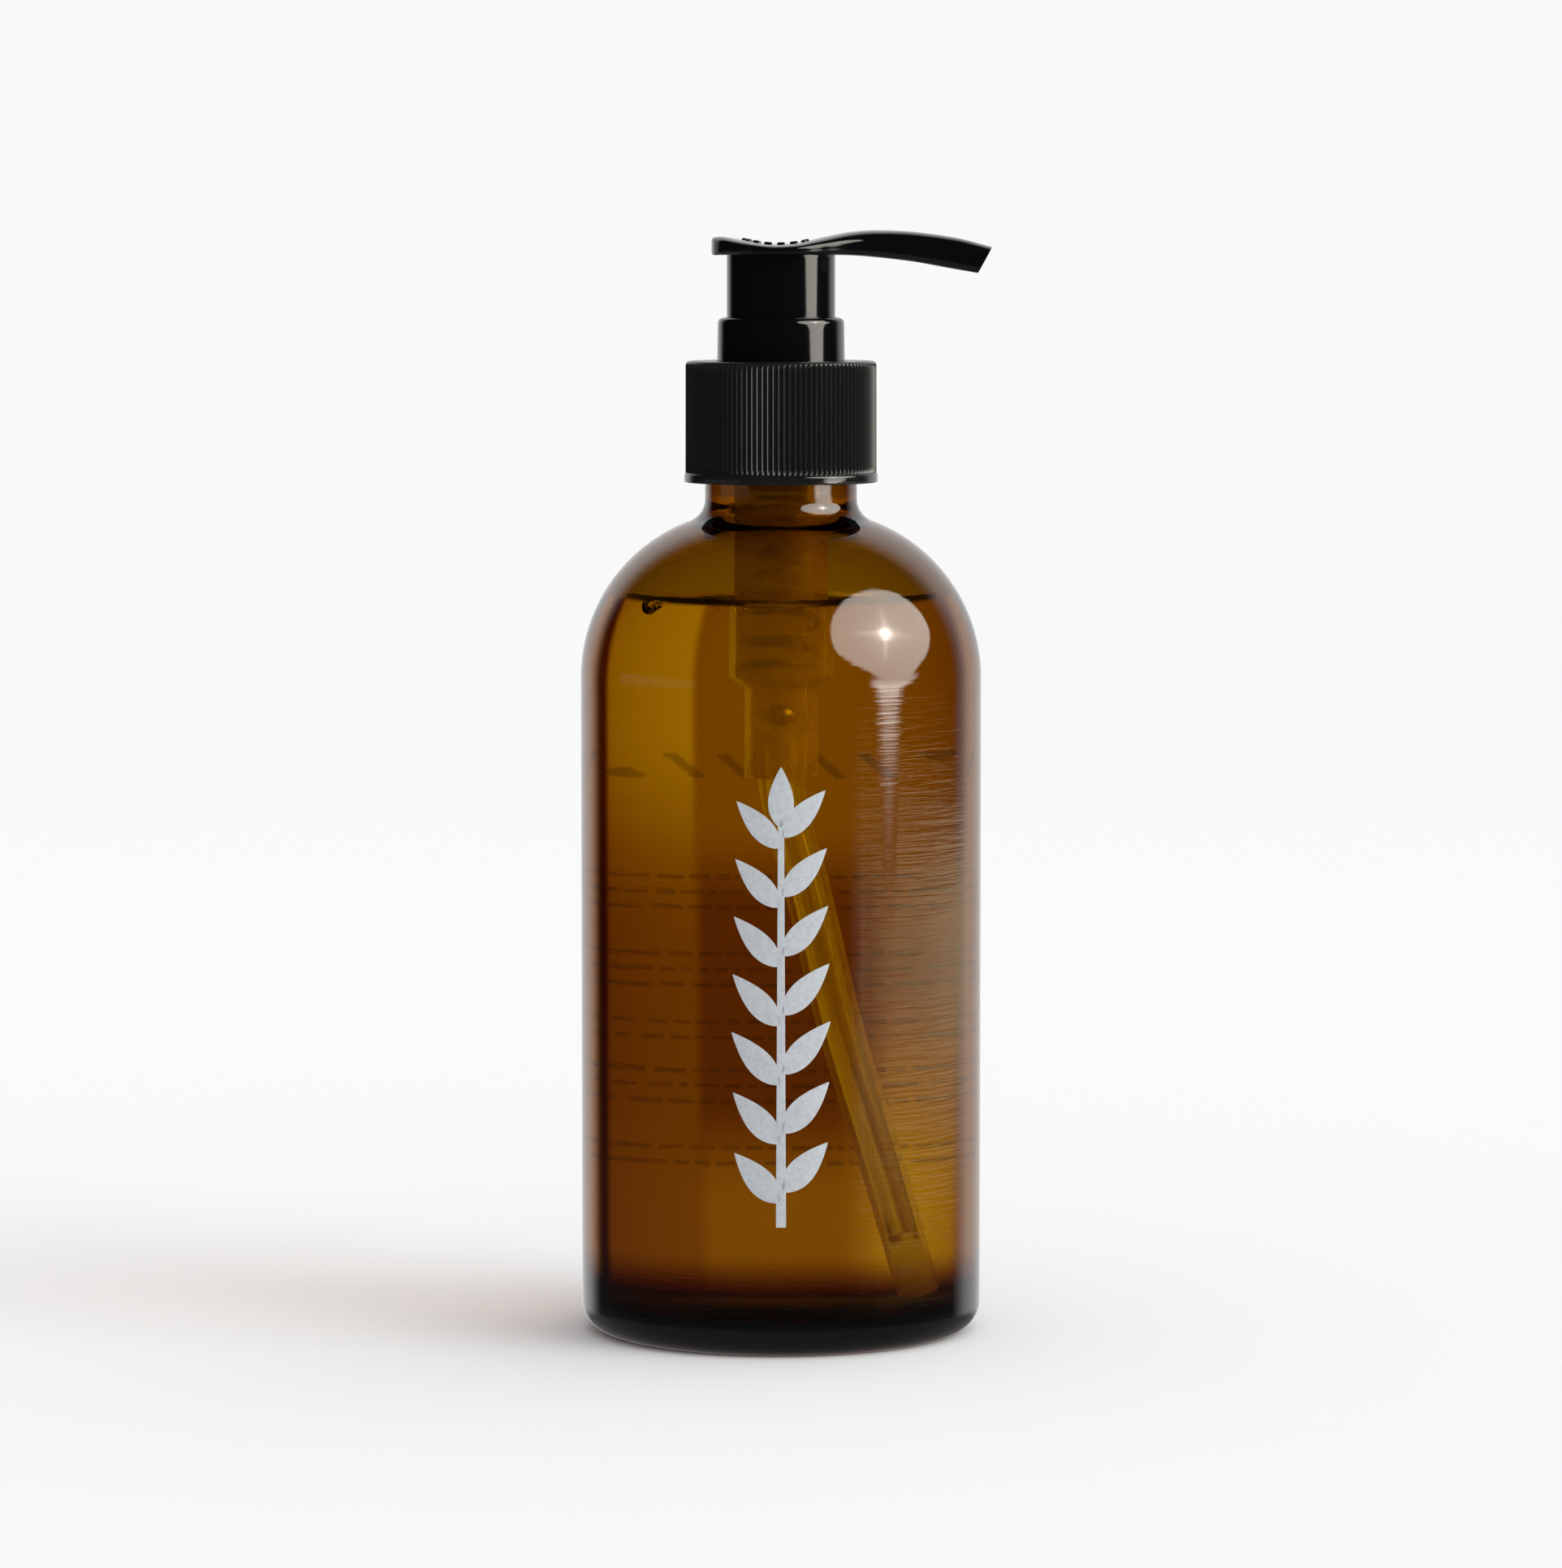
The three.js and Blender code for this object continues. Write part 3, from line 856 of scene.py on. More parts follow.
@dataclass
class OilFill:
    """The oil, up to a level in the shoulder, with the curl where it climbs the glass, and its bubbles."""

    bottle: GlassBottle
    level: float = 110.3
    climb: float = 1.7
    reach: float = 2.6
    inset: float = 0.04
    segments: int = 192

    def surface_z(self, away: Array) -> Array:
        """Height of the surface at a distance from the glass: level + climb e^(-2.2 distance / reach)."""
        return self.level + self.climb * np.exp(-away / (self.reach / 2.2))

    def build(self, shop: Workshop) -> None:
        """Makes the oil and its bubbles."""
        wall = self.bottle.inside(self.inset)
        wall = wall[wall[:, 1] < self.level + self.climb]
        wall = densely(wall, 1.6, closed=False)[::-1]
        top_z = self.level + self.climb
        arc_radius = self.bottle.shoulder_arc - self.bottle.wall - self.inset
        edge = self.bottle.shoulder_centre + math.sqrt(arc_radius**2 - (top_z - self.bottle.shoulder_z) ** 2)
        back = np.concatenate([np.linspace(0, 1, 14)[1:] ** 2 * 5, np.linspace(6.5, edge - 0.5, 14)])
        surface = np.stack([edge - back, self.surface_z(back)], axis=1)
        outline = np.concatenate([wall, [[edge, top_z]], surface])
        piece = skin("massage_oil", [turned(outline, self.segments)], [False], 60)

        def free(place: Array) -> Array:
            """1 on the surface, 0 where the oil meets the glass."""
            radius = np.hypot(place[:, 0], place[:, 1])
            height = self.surface_z(edge - radius)
            return (place[:, 2] > height - 0.02).astype(float)

        mark(piece, "free_surface", free)
        shop.fit(piece, ClearLiquid("clear_oil"), Body.BOTTLE)
        self.bubbles(shop, edge)

    def bubbles(self, shop: Workshop, edge: float) -> None:
        """Bubbles that cling to the glass at the surface: a big one and a string of small ones."""
        random = np.random.default_rng(7)
        small = np.radians(np.linspace(-112, -74, 22) + random.uniform(-0.6, 0.6, 22))
        radii = np.concatenate([[1.5, 0.62, 0.45], random.uniform(0.09, 0.2, 22)])
        angles = np.concatenate([np.radians([-143.5, -139.0, -137.0]), small])
        depth = np.concatenate([[1.9, 1.3, 1.1], radii[3:] + 0.12])
        drop = np.concatenate([[0.5, 0.5, 0.3], np.full(22, 0.15)])
        grids = []
        for radius, angle, inwards, below in zip(radii, angles, depth, drop):
            polar = np.linspace(0, math.pi, 15)[1:-1, None]
            around = np.arange(20) * TAU / 20
            ball = np.stack(
                [np.sin(polar) * np.cos(around), np.sin(polar) * np.sin(around), -np.cos(polar) + 0 * around],
                axis=2,
            )
            reach = edge - inwards
            centre = [reach * math.cos(angle), reach * math.sin(angle), self.level + 0.3 - below]
            grids.append(ball * radius + centre)
        piece = skin("oil_bubbles", grids, [False] * len(grids), 80)
        mark(piece, "free_surface", lambda place: np.ones(len(place)))
        shop.fit(piece, ClearLiquid("air_bubble", index=0.69), Body.BOTTLE)


@dataclass
class PrintedMarks:
    """Ink on the glass: a leafy sprig up the front and plain bars on the back."""

    glass_radius: float
    film: float = 0.06
    sink: float = 0.01
    low: float = 19.6
    high: float = 88.3
    leaf_pairs: int = 7
    tick_low: float = 83.2
    tick_high: float = 87.0
    tick_slant: float = 1.6
    tick_half: float = 0.32
    bar_heights: tuple[float, ...] = (68, 65.6, 63.2, 56, 53.6, 51.2, 45.5, 43.1, 38, 35.6, 33.2, 26, 23.6)
    bar_reach: float = 10.5
    bar_half: float = 0.3
    bar_gap: float = 0.3

    def on_glass(self, across: Array, up: Array, lift: float, back: bool = False) -> Array:
        """Wraps flat points round the glass: the distance across becomes an arc of the same length."""
        radius = self.glass_radius + lift
        angle = across / self.glass_radius + (math.pi / 2 if back else -math.pi / 2)
        return np.stack([radius * np.cos(angle), radius * np.sin(angle), up], axis=-1)

    def patch(
        self,
        start: Array,
        end: Array,
        half: Callable[[Array], Array],
        rows: int,
        back: bool = False,
        columns: int = 9,
    ) -> Array:
        """One flat shape between two points: its half width is a function of the share of its length.

        Returns:
            A closed grid: rows along the shape, columns over its face and back under it.
        """
        share = np.linspace(0.004, 0.996, rows)[:, None]
        along = (end - start) / np.linalg.norm(end - start)
        sideways = np.array([along[1], -along[0]])
        over = np.linspace(-1, 1, columns)
        across = np.concatenate([over, over[::-1]])
        lift = np.concatenate([np.full(columns, self.film), np.full(columns, -self.sink)])
        lift[[0, columns - 1]] = self.film * 0.6
        spine = start + share[..., None] * (end - start)
        flat = spine + half(share)[..., None] * across[None, :, None] * sideways
        layers = [self.on_glass(flat[:, i, 0], flat[:, i, 1], lift[i], back) for i in range(len(across))]
        return np.stack(layers, axis=1)

    def leaf_half(self, size: float) -> Callable[[Array], Array]:
        """Half width of a leaf: widest a third of the way up, with a pointed tip."""
        return lambda share: size * np.sin(math.pi * share**0.75) ** 0.9

    def sprig(self) -> list[Array]:
        """A stem with pairs of leaves that shorten towards the tip."""
        stem_top = self.high - 8
        stem = self.patch(
            np.array([0.0, self.low]), np.array([0.0, stem_top + 1]), lambda share: 0.75 - 0.3 * share, 60
        )
        grids = [stem]
        for place in range(self.leaf_pairs):
            share = place / (self.leaf_pairs - 1)
            foot = self.low + 4 + share * (stem_top - self.low - 8)
            length = 10.6 - 1.8 * abs(share - 0.35)
            for side in (-1, 1):
                lean = np.array([side * 0.68, 0.73])
                start = np.array([side * 0.2, foot + (1.6 if side > 0 else 0)])
                grids.append(self.patch(start, start + lean * length, self.leaf_half(2.0 - 0.3 * share), 28))
        grids.append(
            self.patch(np.array([0.0, stem_top - 1]), np.array([0.0, self.high]), self.leaf_half(1.9), 28)
        )
        return grids

    @staticmethod
    def even(half: float) -> Callable[[Array], Array]:
        """The same half width all along."""
        return lambda share: half + 0 * share

    def bars(self) -> list[Array]:
        """A row of slanted ticks over rows of plain bars on the back, where small print would stand."""
        random = np.random.default_rng(3)
        grids = []
        for place in np.linspace(-9, 7.4, 7):
            foot, tip = np.array([place, self.tick_low]), np.array([place + self.tick_slant, self.tick_high])
            grids.append(self.patch(foot, tip, self.even(self.tick_half), 6, back=True, columns=2))
        for height in self.bar_heights:
            left = -self.bar_reach
            while left < self.bar_reach - 1:
                right = min(left + random.uniform(0.4, 1.5), self.bar_reach)
                ends = [np.array([left, height]), np.array([right, height])]
                grids.append(self.patch(*ends, self.even(self.bar_half), 4, back=True, columns=2))
                left = right + self.bar_gap
        return grids

    def build(self, shop: Workshop) -> None:
        """Makes both films of ink."""
        films = (
            ("front_sprig_print", self.sprig(), PrintedInk("silver_ink")),
            ("back_bar_print", self.bars(), PrintedInk("thin_silver_ink", cover=0.22)),
        )
        for name, grids, ink in films:
            piece = skin(name, [grid[:, ::-1] for grid in grids], [False] * len(grids), 50)
            shop.fit(piece, ink, Body.BOTTLE)


# ---------------------------------------------------------------------------
# Closure and pump
# ---------------------------------------------------------------------------


@dataclass
class RibbedCollar:
    """The screw collar with its fine upright ribs and inner thread."""

    bottom: float
    top: float
    flange: float = 14.65
    flange_height: float = 1.3
    ribs: int = 110
    crest_low: float = 14.55
    crest_high: float = 14.42
    depth: float = 0.42
    bore: float = 12.15
    ceiling: float = 146.2
    hole: float = 9.9
    thread_pitch: float = 3.175
    thread_start: float = 133.2 + 3.175 / 2
    per_rib: int = 8

    def outline(self) -> Array:
        """The collar's section: flange, ribbed wall, rounded shoulder, top, hole and bore."""
        low, high, step = self.bottom, self.top, self.bottom + self.flange_height
        return rounded(
            [
                (self.bore + 0.2, low, 0.15),
                (self.flange, low, 0.25),
                (self.flange, step, 0.3),
                (self.crest_low - 0.1, step + 0.1, 0.1),
                (self.crest_high, high, 0.75),
                (self.hole, high, 0.25),
                (self.hole, self.ceiling, 0.15),
                (self.bore, self.ceiling, 0.3),
            ]
        )

    def ribbing(self, radius: Array, height: Array, angle: Array) -> Array:
        """Grooves of the outer wall, faded out at both ends, plus the thread of the bore."""
        low, high = self.bottom + self.flange_height + 0.15, self.top - 0.45
        span = np.clip((height - low) / 0.35, 0, 1) * np.clip((high - height) / 0.35, 0, 1)
        outer = (radius > self.crest_high - 0.5) * np.sqrt(np.clip(span, 0, 1))
        groove = (0.5 - 0.5 * np.cos(self.ribs * angle)) ** 0.8
        inner = np.abs(radius - self.bore) < 0.08
        ridge = thread_rise(height, angle, self.thread_start, self.thread_pitch, 1.5, 0.95, 0.4)
        return -self.depth * outer * groove - inner * ridge * 0.98

    def build(self, shop: Workshop) -> None:
        """Makes the collar."""
        outline = densely(self.outline(), 0.45)
        grid = turned(outline, self.ribs * self.per_rib, self.ribbing)
        piece = skin("ribbed_screw_collar", [grid], [True], 50)
        finish = MouldedPlastic(
            "ribbed_black_plastic",
            rgba(0.011, 0.011, 0.0115),
            roughness=0.28,
            spread=0.08,
            grain=0.000006,
            grain_scale=3500,
            sleek_below=(self.bottom + self.flange_height) * MM,
        )
        shop.fit(piece, finish, Body.CLOSURE, ["screw_collar"])


@dataclass
class GuideSleeve:
    """The gloss sleeve that the skirt runs in, with its web and flange."""

    bottom: float
    top: float
    low_radius: float = 9.67
    high_radius: float = 9.55
    bore: float = 8.45
    flange: float = 11.2
    web: float = 145.9
    guide: float = 2.85

    def build(self, shop: Workshop) -> None:
        """Makes the sleeve."""
        ledge = self.web + 0.1
        outline = rounded(
            [
                (self.guide, self.bottom, 0.15),
                (self.flange, self.bottom, 0.15),
                (self.flange, ledge, 0.15),
                (self.low_radius, ledge, 0.1),
                (self.high_radius, self.top, 1.0),
                (self.bore, self.top - 0.05, 0.3),
                (self.bore, self.web, 0.2),
                (self.guide, self.web, 0.15),
            ],
            10,
        )
        piece = skin("guide_sleeve", [turned(densely(outline, 0.8), 128)], [True])
        shop.fit(piece, GLOSS_BLACK, Body.PUMP, ["lock_sleeve"])


@dataclass
class PumpHousing:
    """The stepped cylinder under the collar, in undyed plastic."""

    flange: float
    flange_top: float
    bottom: float
    oil_z: float
    flange_low: float = 143.7
    chamber: float = 7.07
    chamber_bore: float = 6.2
    chamber_z: float = 111.3
    barrel: float = 5.45
    barrel_bore: float = 4.6
    ledge: float = 99.3
    intake: float = 3.8
    ball_bore: float = 2.6
    seat: float = 93.3
    seat_hole: float = 1.2
    socket: float = 2.65
    socket_top: float = 91.9

    def build(self, shop: Workshop) -> None:
        """Makes the housing."""
        outline = rounded(
            [
                (self.socket, self.bottom, 0.15),
                (self.intake, self.bottom, 0.2),
                (self.intake, self.ledge - 0.9, 0.3),
                (self.barrel, self.ledge, 0.3),
                (self.barrel, self.chamber_z - 0.8, 0.3),
                (self.chamber, self.chamber_z, 0.3),
                (self.chamber, self.flange_low, 0.3),
                (self.flange, self.flange_low, 0.1),
                (self.flange, self.flange_top, 0.1),
                (self.chamber_bore, self.flange_top, 0.2),
                (self.chamber_bore, self.chamber_z + 1, 0.2),
                (self.barrel_bore, self.chamber_z + 0.2, 0.2),
                (self.barrel_bore, self.ledge, 0.2),
                (self.ball_bore, self.ledge, 0.15),
                (self.ball_bore, self.seat + 1.3, 0.2),
                (self.seat_hole, self.seat, 0.1),
                (self.seat_hole, self.socket_top, 0.1),
                (self.socket, self.socket_top, 0.1),
            ],
            4,
        )
        piece = skin("pump_housing_shell", [turned(densely(outline, 1.5), 96)], [True], 36)
        mark(piece, "wetted", lambda place: (place[:, 2] < self.oil_z + 0.1).astype(float))
        finish = CloudyPlastic("cloudy_plastic", milk=0.3, roughness=0.18, colour=rgba(0.95, 0.8, 0.5))
        shop.fit(piece, finish, Body.PUMP, ["pump_housing"])


@dataclass
class SuctionTube:
    """The bowed tube down to the floor, its foot cut to a V, with a little oil standing in it."""

    radius: float = 2.4
    bore: float = 1.7
    notch: float = 1.5
    column_z: float = 15.6
    # Heights and offsets of the centre line, from the socket down to the foot.
    knots: tuple[tuple[float, float], ...] = (
        (91.3, 0.0),
        (86.5, 0.0),
        (83.0, 0.15),
        (78.0, 0.9),
        (70.0, 2.4),
        (47.0, 6.2),
        (28.0, 10.2),
        (5.3, 14.9),
    )

    def offset(self, height: Array) -> Array:
        """The centre line's x at each height: a cubic between knots, with slopes from their differences."""
        z, x = np.array(self.knots[::-1]).T
        slope = np.gradient(x, z)
        index = np.clip(np.searchsorted(z, height) - 1, 0, len(z) - 2)
        span = z[index + 1] - z[index]
        t = (height - z[index]) / span
        stay = (1 + 2 * t) * (1 - t) ** 2 * x[index] + t * (1 - t) ** 2 * span * slope[index]
        go = t**2 * (3 - 2 * t) * x[index + 1] + t**2 * (t - 1) * span * slope[index + 1]
        return stay + go

    def wall(
        self, radius: float, top: float, foot: float, notch: float, rows: int = 90, columns: int = 32
    ) -> Array:
        """Rings of one radius along the centre line, from the foot up, the foot cut back by the notch."""
        angle = np.arange(columns) * TAU / columns
        low = foot + notch * (1 - np.abs(np.sin(angle)))
        share = np.linspace(0, 1, rows)[:, None]
        height = low + (top - low) * share
        x = self.offset(height)
        lean = (self.offset(height + 0.05) - self.offset(height - 0.05)) / 0.1
        size = np.sqrt(1 + lean**2)
        side = radius * np.cos(angle)
        return np.stack(
            [x + side / size, radius * np.sin(angle) + 0 * height, height - side * lean / size], axis=2
        )

    def build(self, shop: Workshop) -> None:
        """Makes the tube and the oil in its foot."""
        top, foot = self.knots[0][0], self.knots[-1][0]
        outer = self.wall(self.radius, top, foot, self.notch)
        inner = self.wall(self.bore, top, foot, self.notch)[::-1]
        piece = skin("suction_tube", [np.concatenate([outer, inner])], [True], 50)

        def wetted(place: Array) -> Array:
            """0 on the bore above the oil that stands in it, 1 elsewhere."""
            reach = np.hypot(place[:, 0] - self.offset(place[:, 2]), place[:, 1])
            dry = (reach < (self.radius + self.bore) / 2) & (place[:, 2] > self.column_z)
            return 1.0 - dry

        mark(piece, "wetted", wetted)
        finish = CloudyPlastic("tube_plastic", milk=0.2, roughness=0.05, colour=rgba(0.97, 0.95, 0.6))
        shop.fit(piece, finish, Body.PUMP, ["dip_tube"])
        column = self.wall(self.bore - 0.05, self.column_z, foot + self.notch, 0.0, 12)
        drop = skin("oil_in_tube", [column], [False], 60)
        mark(drop, "free_surface", lambda place: (place[:, 2] > self.column_z - 1.2).astype(float))
        shop.fit(drop, ClearLiquid("clear_oil"), Body.PUMP)


@dataclass
class ReturnSpring:
    """The coil spring, with its end turns closed up."""

    bottom: float
    top: float
    stroke: float
    radius: float = 3.85
    wire: float = 0.35
    turns: float = 10.0

    def build(self, shop: Workshop) -> None:
        """Makes the spring: a helix whose pitch eases down to the wire's thickness at both ends."""
        t = np.linspace(0, 1, 900)
        turn = t * self.turns
        pitch = np.clip(np.minimum(turn, self.turns - turn) / 1.2 - 0.2, 0, 1) * 2.6 + 2.1 * self.wire
        climb = np.concatenate([[0], np.cumsum((pitch[1:] + pitch[:-1]) / 2 * np.diff(turn))])
        low, high = self.bottom + self.wire, self.top - self.wire
        height = low + climb / climb[-1] * (high - low)
        angle = turn * TAU
        centre = np.stack([self.radius * np.cos(angle), self.radius * np.sin(angle), height], axis=1)
        outwards = np.stack([np.cos(angle), np.sin(angle), 0 * angle], axis=1)
        up = np.tile([0.0, 0.0, 1.0], (len(t), 1))
        coil = tube(centre, up, outwards, np.full(len(t), self.wire), 12)
        piece = skin("coil_return_spring", [coil], [False], 50)
        shop.fit(piece, DrawnSteel("drawn_steel"), Body.PUMP, ["return_spring"])
        length = self.top - self.bottom
        self.bottom * MM
        (length - self.stroke) / length
        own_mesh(piece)


@dataclass
class PumpInsides:
    """The turned parts inside the pump: piston, stem, plug, ball and gasket."""

    def piston(self, shop: Workshop, low: float) -> None:
        """The piston ring with its two flared lips."""
        outline = rounded(
            [
                (2.8, low, 0.1),
                (4.6, low, 0.15),
                (4.6, low + 1, 0.15),
                (5.5, low + 0.2, 0.1),
                (6.1, low + 0.2, 0.1),
                (5.7, low + 1.9, 0.4),
                (5.7, low + 3.3, 0.4),
                (6.1, low + 4.9, 0.1),
                (5.5, low + 4.9, 0.1),
                (4.8, low + 3.8, 0.2),
                (3.6, low + 3.8, 0.2),
                (3.6, low + 5.6, 0.15),
                (2.8, low + 5.6, 0.1),
            ]
        )
        piece = skin("double_lip_piston", [turned(outline, 72)], [True])
        shop.fit(piece, WHITE, Body.PISTON, ["piston"])

    def stem(self, shop: Workshop, low: float, high: float) -> None:
        """The hollow stem with its stop ring."""
        outline = rounded(
            [
                (1.5, low, 0.1),
                (2.6, low, 0.2),
                (2.6, low + 4.9, 0.1),
                (3.6, low + 4.9, 0.15),
                (3.6, low + 5.9, 0.15),
                (2.6, low + 6.5, 0.2),
                (2.6, high, 0.3),
                (1.5, high, 0.1),
            ]
        )
        piece = skin("hollow_stem", [turned(densely(outline, 2), 64)], [True])
        shop.fit(piece, WHITE, Body.PLUNGER, ["stem"])

    def plug(self, shop: Workshop, low: float) -> None:
        """The plug that closes the stem's foot, with the flange that the spring pushes."""
        outline = rounded(
            [
                (0.05, low, 0),
                (4.9, low, 0.15),
                (4.9, low + 1.1, 0.15),
                (2.5, low + 1.1, 0.2),
                (2.5, low + 2.8, 0.1),
                (1.35, low + 2.8, 0.1),
                (1.35, low + 4.1, 0.2),
                (0.05, low + 4.1, 0),
            ]
        )
        piece = skin("stem_foot_plug", [turned(outline, 64)], [False])
        shop.fit(piece, WHITE, Body.PLUNGER, ["stem_plug"])

    def ball(self, shop: Workshop, low: Array, high: Array) -> None:
        """The ground inlet ball."""
        radius, middle = (high[2] - low[2]) / 2, (high[2] + low[2]) / 2
        outline = arc((0, middle), radius, -88, 88, 30)
        piece = skin("inlet_valve_ball", [turned(outline, 48)], [False], 60)
        shop.fit(piece, DrawnSteel("drawn_steel"), Body.BALL, ["intake_ball"])

    def gasket(self, shop: Workshop, low: Array, high: Array) -> None:
        """The foam ring between lip and flange."""
        outline = rounded(
            [(8.6, low[2], 0.15), (high[0], low[2], 0.2), (high[0], high[2], 0.2), (8.6, high[2], 0.15)]
        )
        piece = skin("foam_gasket", [turned(outline, 96)], [True])
        shop.fit(piece, FoamSheet("closed_cell_foam"), Body.PUMP, ["neck_gasket"])


@dataclass
class SaddleHead:
    """The push head: a saddle-shaped plate with a side nozzle, over a round skirt."""

    skirt_low: float
    skirt: float = 8.2
    skirt_wall: float = 1.0
    boss: float = 3.9
    boss_low: float = 155.0
    socket: float = 2.75
    socket_top: float = 162.1
    plate: float = 163.3
    channel: float = 1.15
    channel_depth: float = 9.0
    lean: float = 1.1
    lean_from: float = 18.0
    # Stations along x: x, half width, underside, top.
    stations: tuple[tuple[float, float, float, float], ...] = (
        (-10.5, 0.6, 163.75, 165.5),
        (-10.35, 1.8, 163.4, 165.85),
        (-9.9, 3.5, 163.3, 166.05),
        (-8.5, 6.2, 163.3, 166.1),
        (-5.5, 8.95, 163.3, 165.6),
        (-1.5, 10.4, 163.3, 165.05),
        (2.5, 10.0, 163.3, 165.25),
        (6.5, 8.2, 163.3, 166.1),
        (10.5, 6.4, 163.25, 166.85),
        (14.5, 5.4, 162.95, 167.1),
        (20.0, 4.8, 162.3, 166.85),
        (26.0, 4.4, 161.3, 165.95),
        (30.7, 4.2, 160.6, 164.6),
    )

    def smooth(self, rows: int) -> Array:
        """The stations, drawn out by a uniform Catmull-Rom curve: each span is a cubic through its ends."""
        knots = np.array(self.stations)
        padded = np.concatenate([2 * knots[:1] - knots[1:2], knots, 2 * knots[-1:] - knots[-2:-1]])
        place = np.linspace(0, len(knots) - 1, rows)
        index = np.minimum(place.astype(int), len(knots) - 2)
        t = (place - index)[:, None]
        a, b, c, d = (padded[index + shift] for shift in range(4))
        square, cube = 2 * a - 5 * b + 4 * c - d, 3 * b - a - 3 * c + d
        return 0.5 * (2 * b + (c - a) * t + square * t**2 + cube * t**3)

    def section(self, columns: int) -> tuple[Array, Array]:
        """A rounded section, flat below and crowned above: a superellipse with two exponents."""
        angle = np.arange(columns) * TAU / columns
        power = np.where(np.sin(angle) > 0, 2 / 2.7, 2 / 7.0)
        across = np.sign(np.cos(angle)) * np.abs(np.cos(angle)) ** power
        up = np.sign(np.sin(angle)) * np.abs(np.sin(angle)) ** power
        return across, up

    def saddle(self) -> Array:
        """The plate and nozzle from back to tip, then back into the outlet."""
        path = self.smooth(150)
        across, up = self.section(96)
        x, half, low, top = (path[:, i : i + 1] for i in range(4))
        lean = self.lean * np.clip((x - self.lean_from) / (path[-1, 0] - self.lean_from), 0, 1) ** 2
        outside = np.stack([x + lean * up, half * across, (low + top) / 2 + (top - low) / 2 * up], axis=2)
        tip, middle = outside[-1], outside[-1].mean(0)
        middle[0] = path[-1, 0]
        angle = np.arctan2(up, across)
        slope = self.lean / ((path[-1, 3] - path[-1, 2]) / 2)
        circle = np.stack([slope * np.sin(angle), np.cos(angle), np.sin(angle)], axis=1)
        into = np.array([-1.0, 0, 0.32]) / math.hypot(1, 0.32)
        shares = [0.25, 0.6, 1.0]
        face = [tip + (middle + circle * self.channel - tip) * share for share in shares]
        depths = np.linspace(0, self.channel_depth, 10)[1:]
        hole = [middle + circle * self.channel + into * depth for depth in depths]
        return np.concatenate([outside, np.stack(face), np.stack(hole)])

    def skirt_grid(self) -> Array:
        """The round skirt."""
        inner = self.skirt - self.skirt_wall
        outline = rounded(
            [
                (inner, self.skirt_low, 0.2),
                (self.skirt, self.skirt_low, 0.3),
                (self.skirt, self.plate + 0.6, 0.05),
                (inner, self.plate + 0.6, 0.05),
            ]
        )
        return turned(densely(outline, 1.0), 128)

    def boss_grid(self) -> Array:
        """The boss that the stem is pressed into."""
        outline = rounded(
            [
                (self.socket, self.boss_low, 0.2),
                (self.boss, self.boss_low, 0.2),
                (self.boss, self.plate + 0.6, 0.05),
                (0.05, self.plate + 0.6, 0),
                (0.05, self.socket_top, 0),
                (self.socket, self.socket_top, 0.1),
            ]
        )
        return turned(outline, 64)

    def crown(self, x: Array, y: Array) -> Array:
        """Height of the plate's top at a place."""
        path = self.smooth(400)
        half = np.interp(x, path[:, 0], path[:, 1])
        low, top = np.interp(x, path[:, 0], path[:, 2]), np.interp(x, path[:, 0], path[:, 3])
        rise = (1 - np.clip(np.abs(y) / half, 0, 1) ** 2.7) ** (1 / 2.7)
        return (low + top) / 2 + (top - low) / 2 * rise

    def raised_marks(self) -> list[Array]:
        """Raised dashes round the saddle that show the way to turn, each a low pillow on a ring."""
        grids = []
        for middle in np.radians(np.arange(-130, 131, 20.0)):
            long, ring = np.radians(6.5), 5.6
            share = np.linspace(-1, 1, 13)[:, None]
            across = np.concatenate([np.linspace(-1, 1, 7), np.linspace(1, -1, 7)])[None]
            top = np.concatenate([np.ones(7), np.zeros(7)])[None]
            width = 0.42 * (1 - np.abs(share) ** 6) ** 0.5 + 0.01
            angle = middle + long * share + math.pi
            radius = ring + across * width
            x, y = radius * np.cos(angle), radius * np.sin(angle)
            pillow = 0.3 * top * (1 - np.abs(across) ** 4 * 0.75) * (1 - np.abs(share) ** 8 * 0.7)
            grids.append(np.stack([x, y, self.crown(x, y) - 0.25 + 0.25 * top + pillow], axis=2))
        return grids

    def build(self, shop: Workshop) -> None:
        """Makes the head."""
        marks = self.raised_marks()
        grids = [self.saddle(), self.skirt_grid(), self.boss_grid(), *marks]
        loops = [False, True, True, *[False] * len(marks)]
        piece = skin("saddle_push_head", grids, loops, 38)
        shop.fit(piece, GLOSS_BLACK, Body.HEAD, ["actuator_head"])


# ---------------------------------------------------------------------------
# Studio
# ---------------------------------------------------------------------------


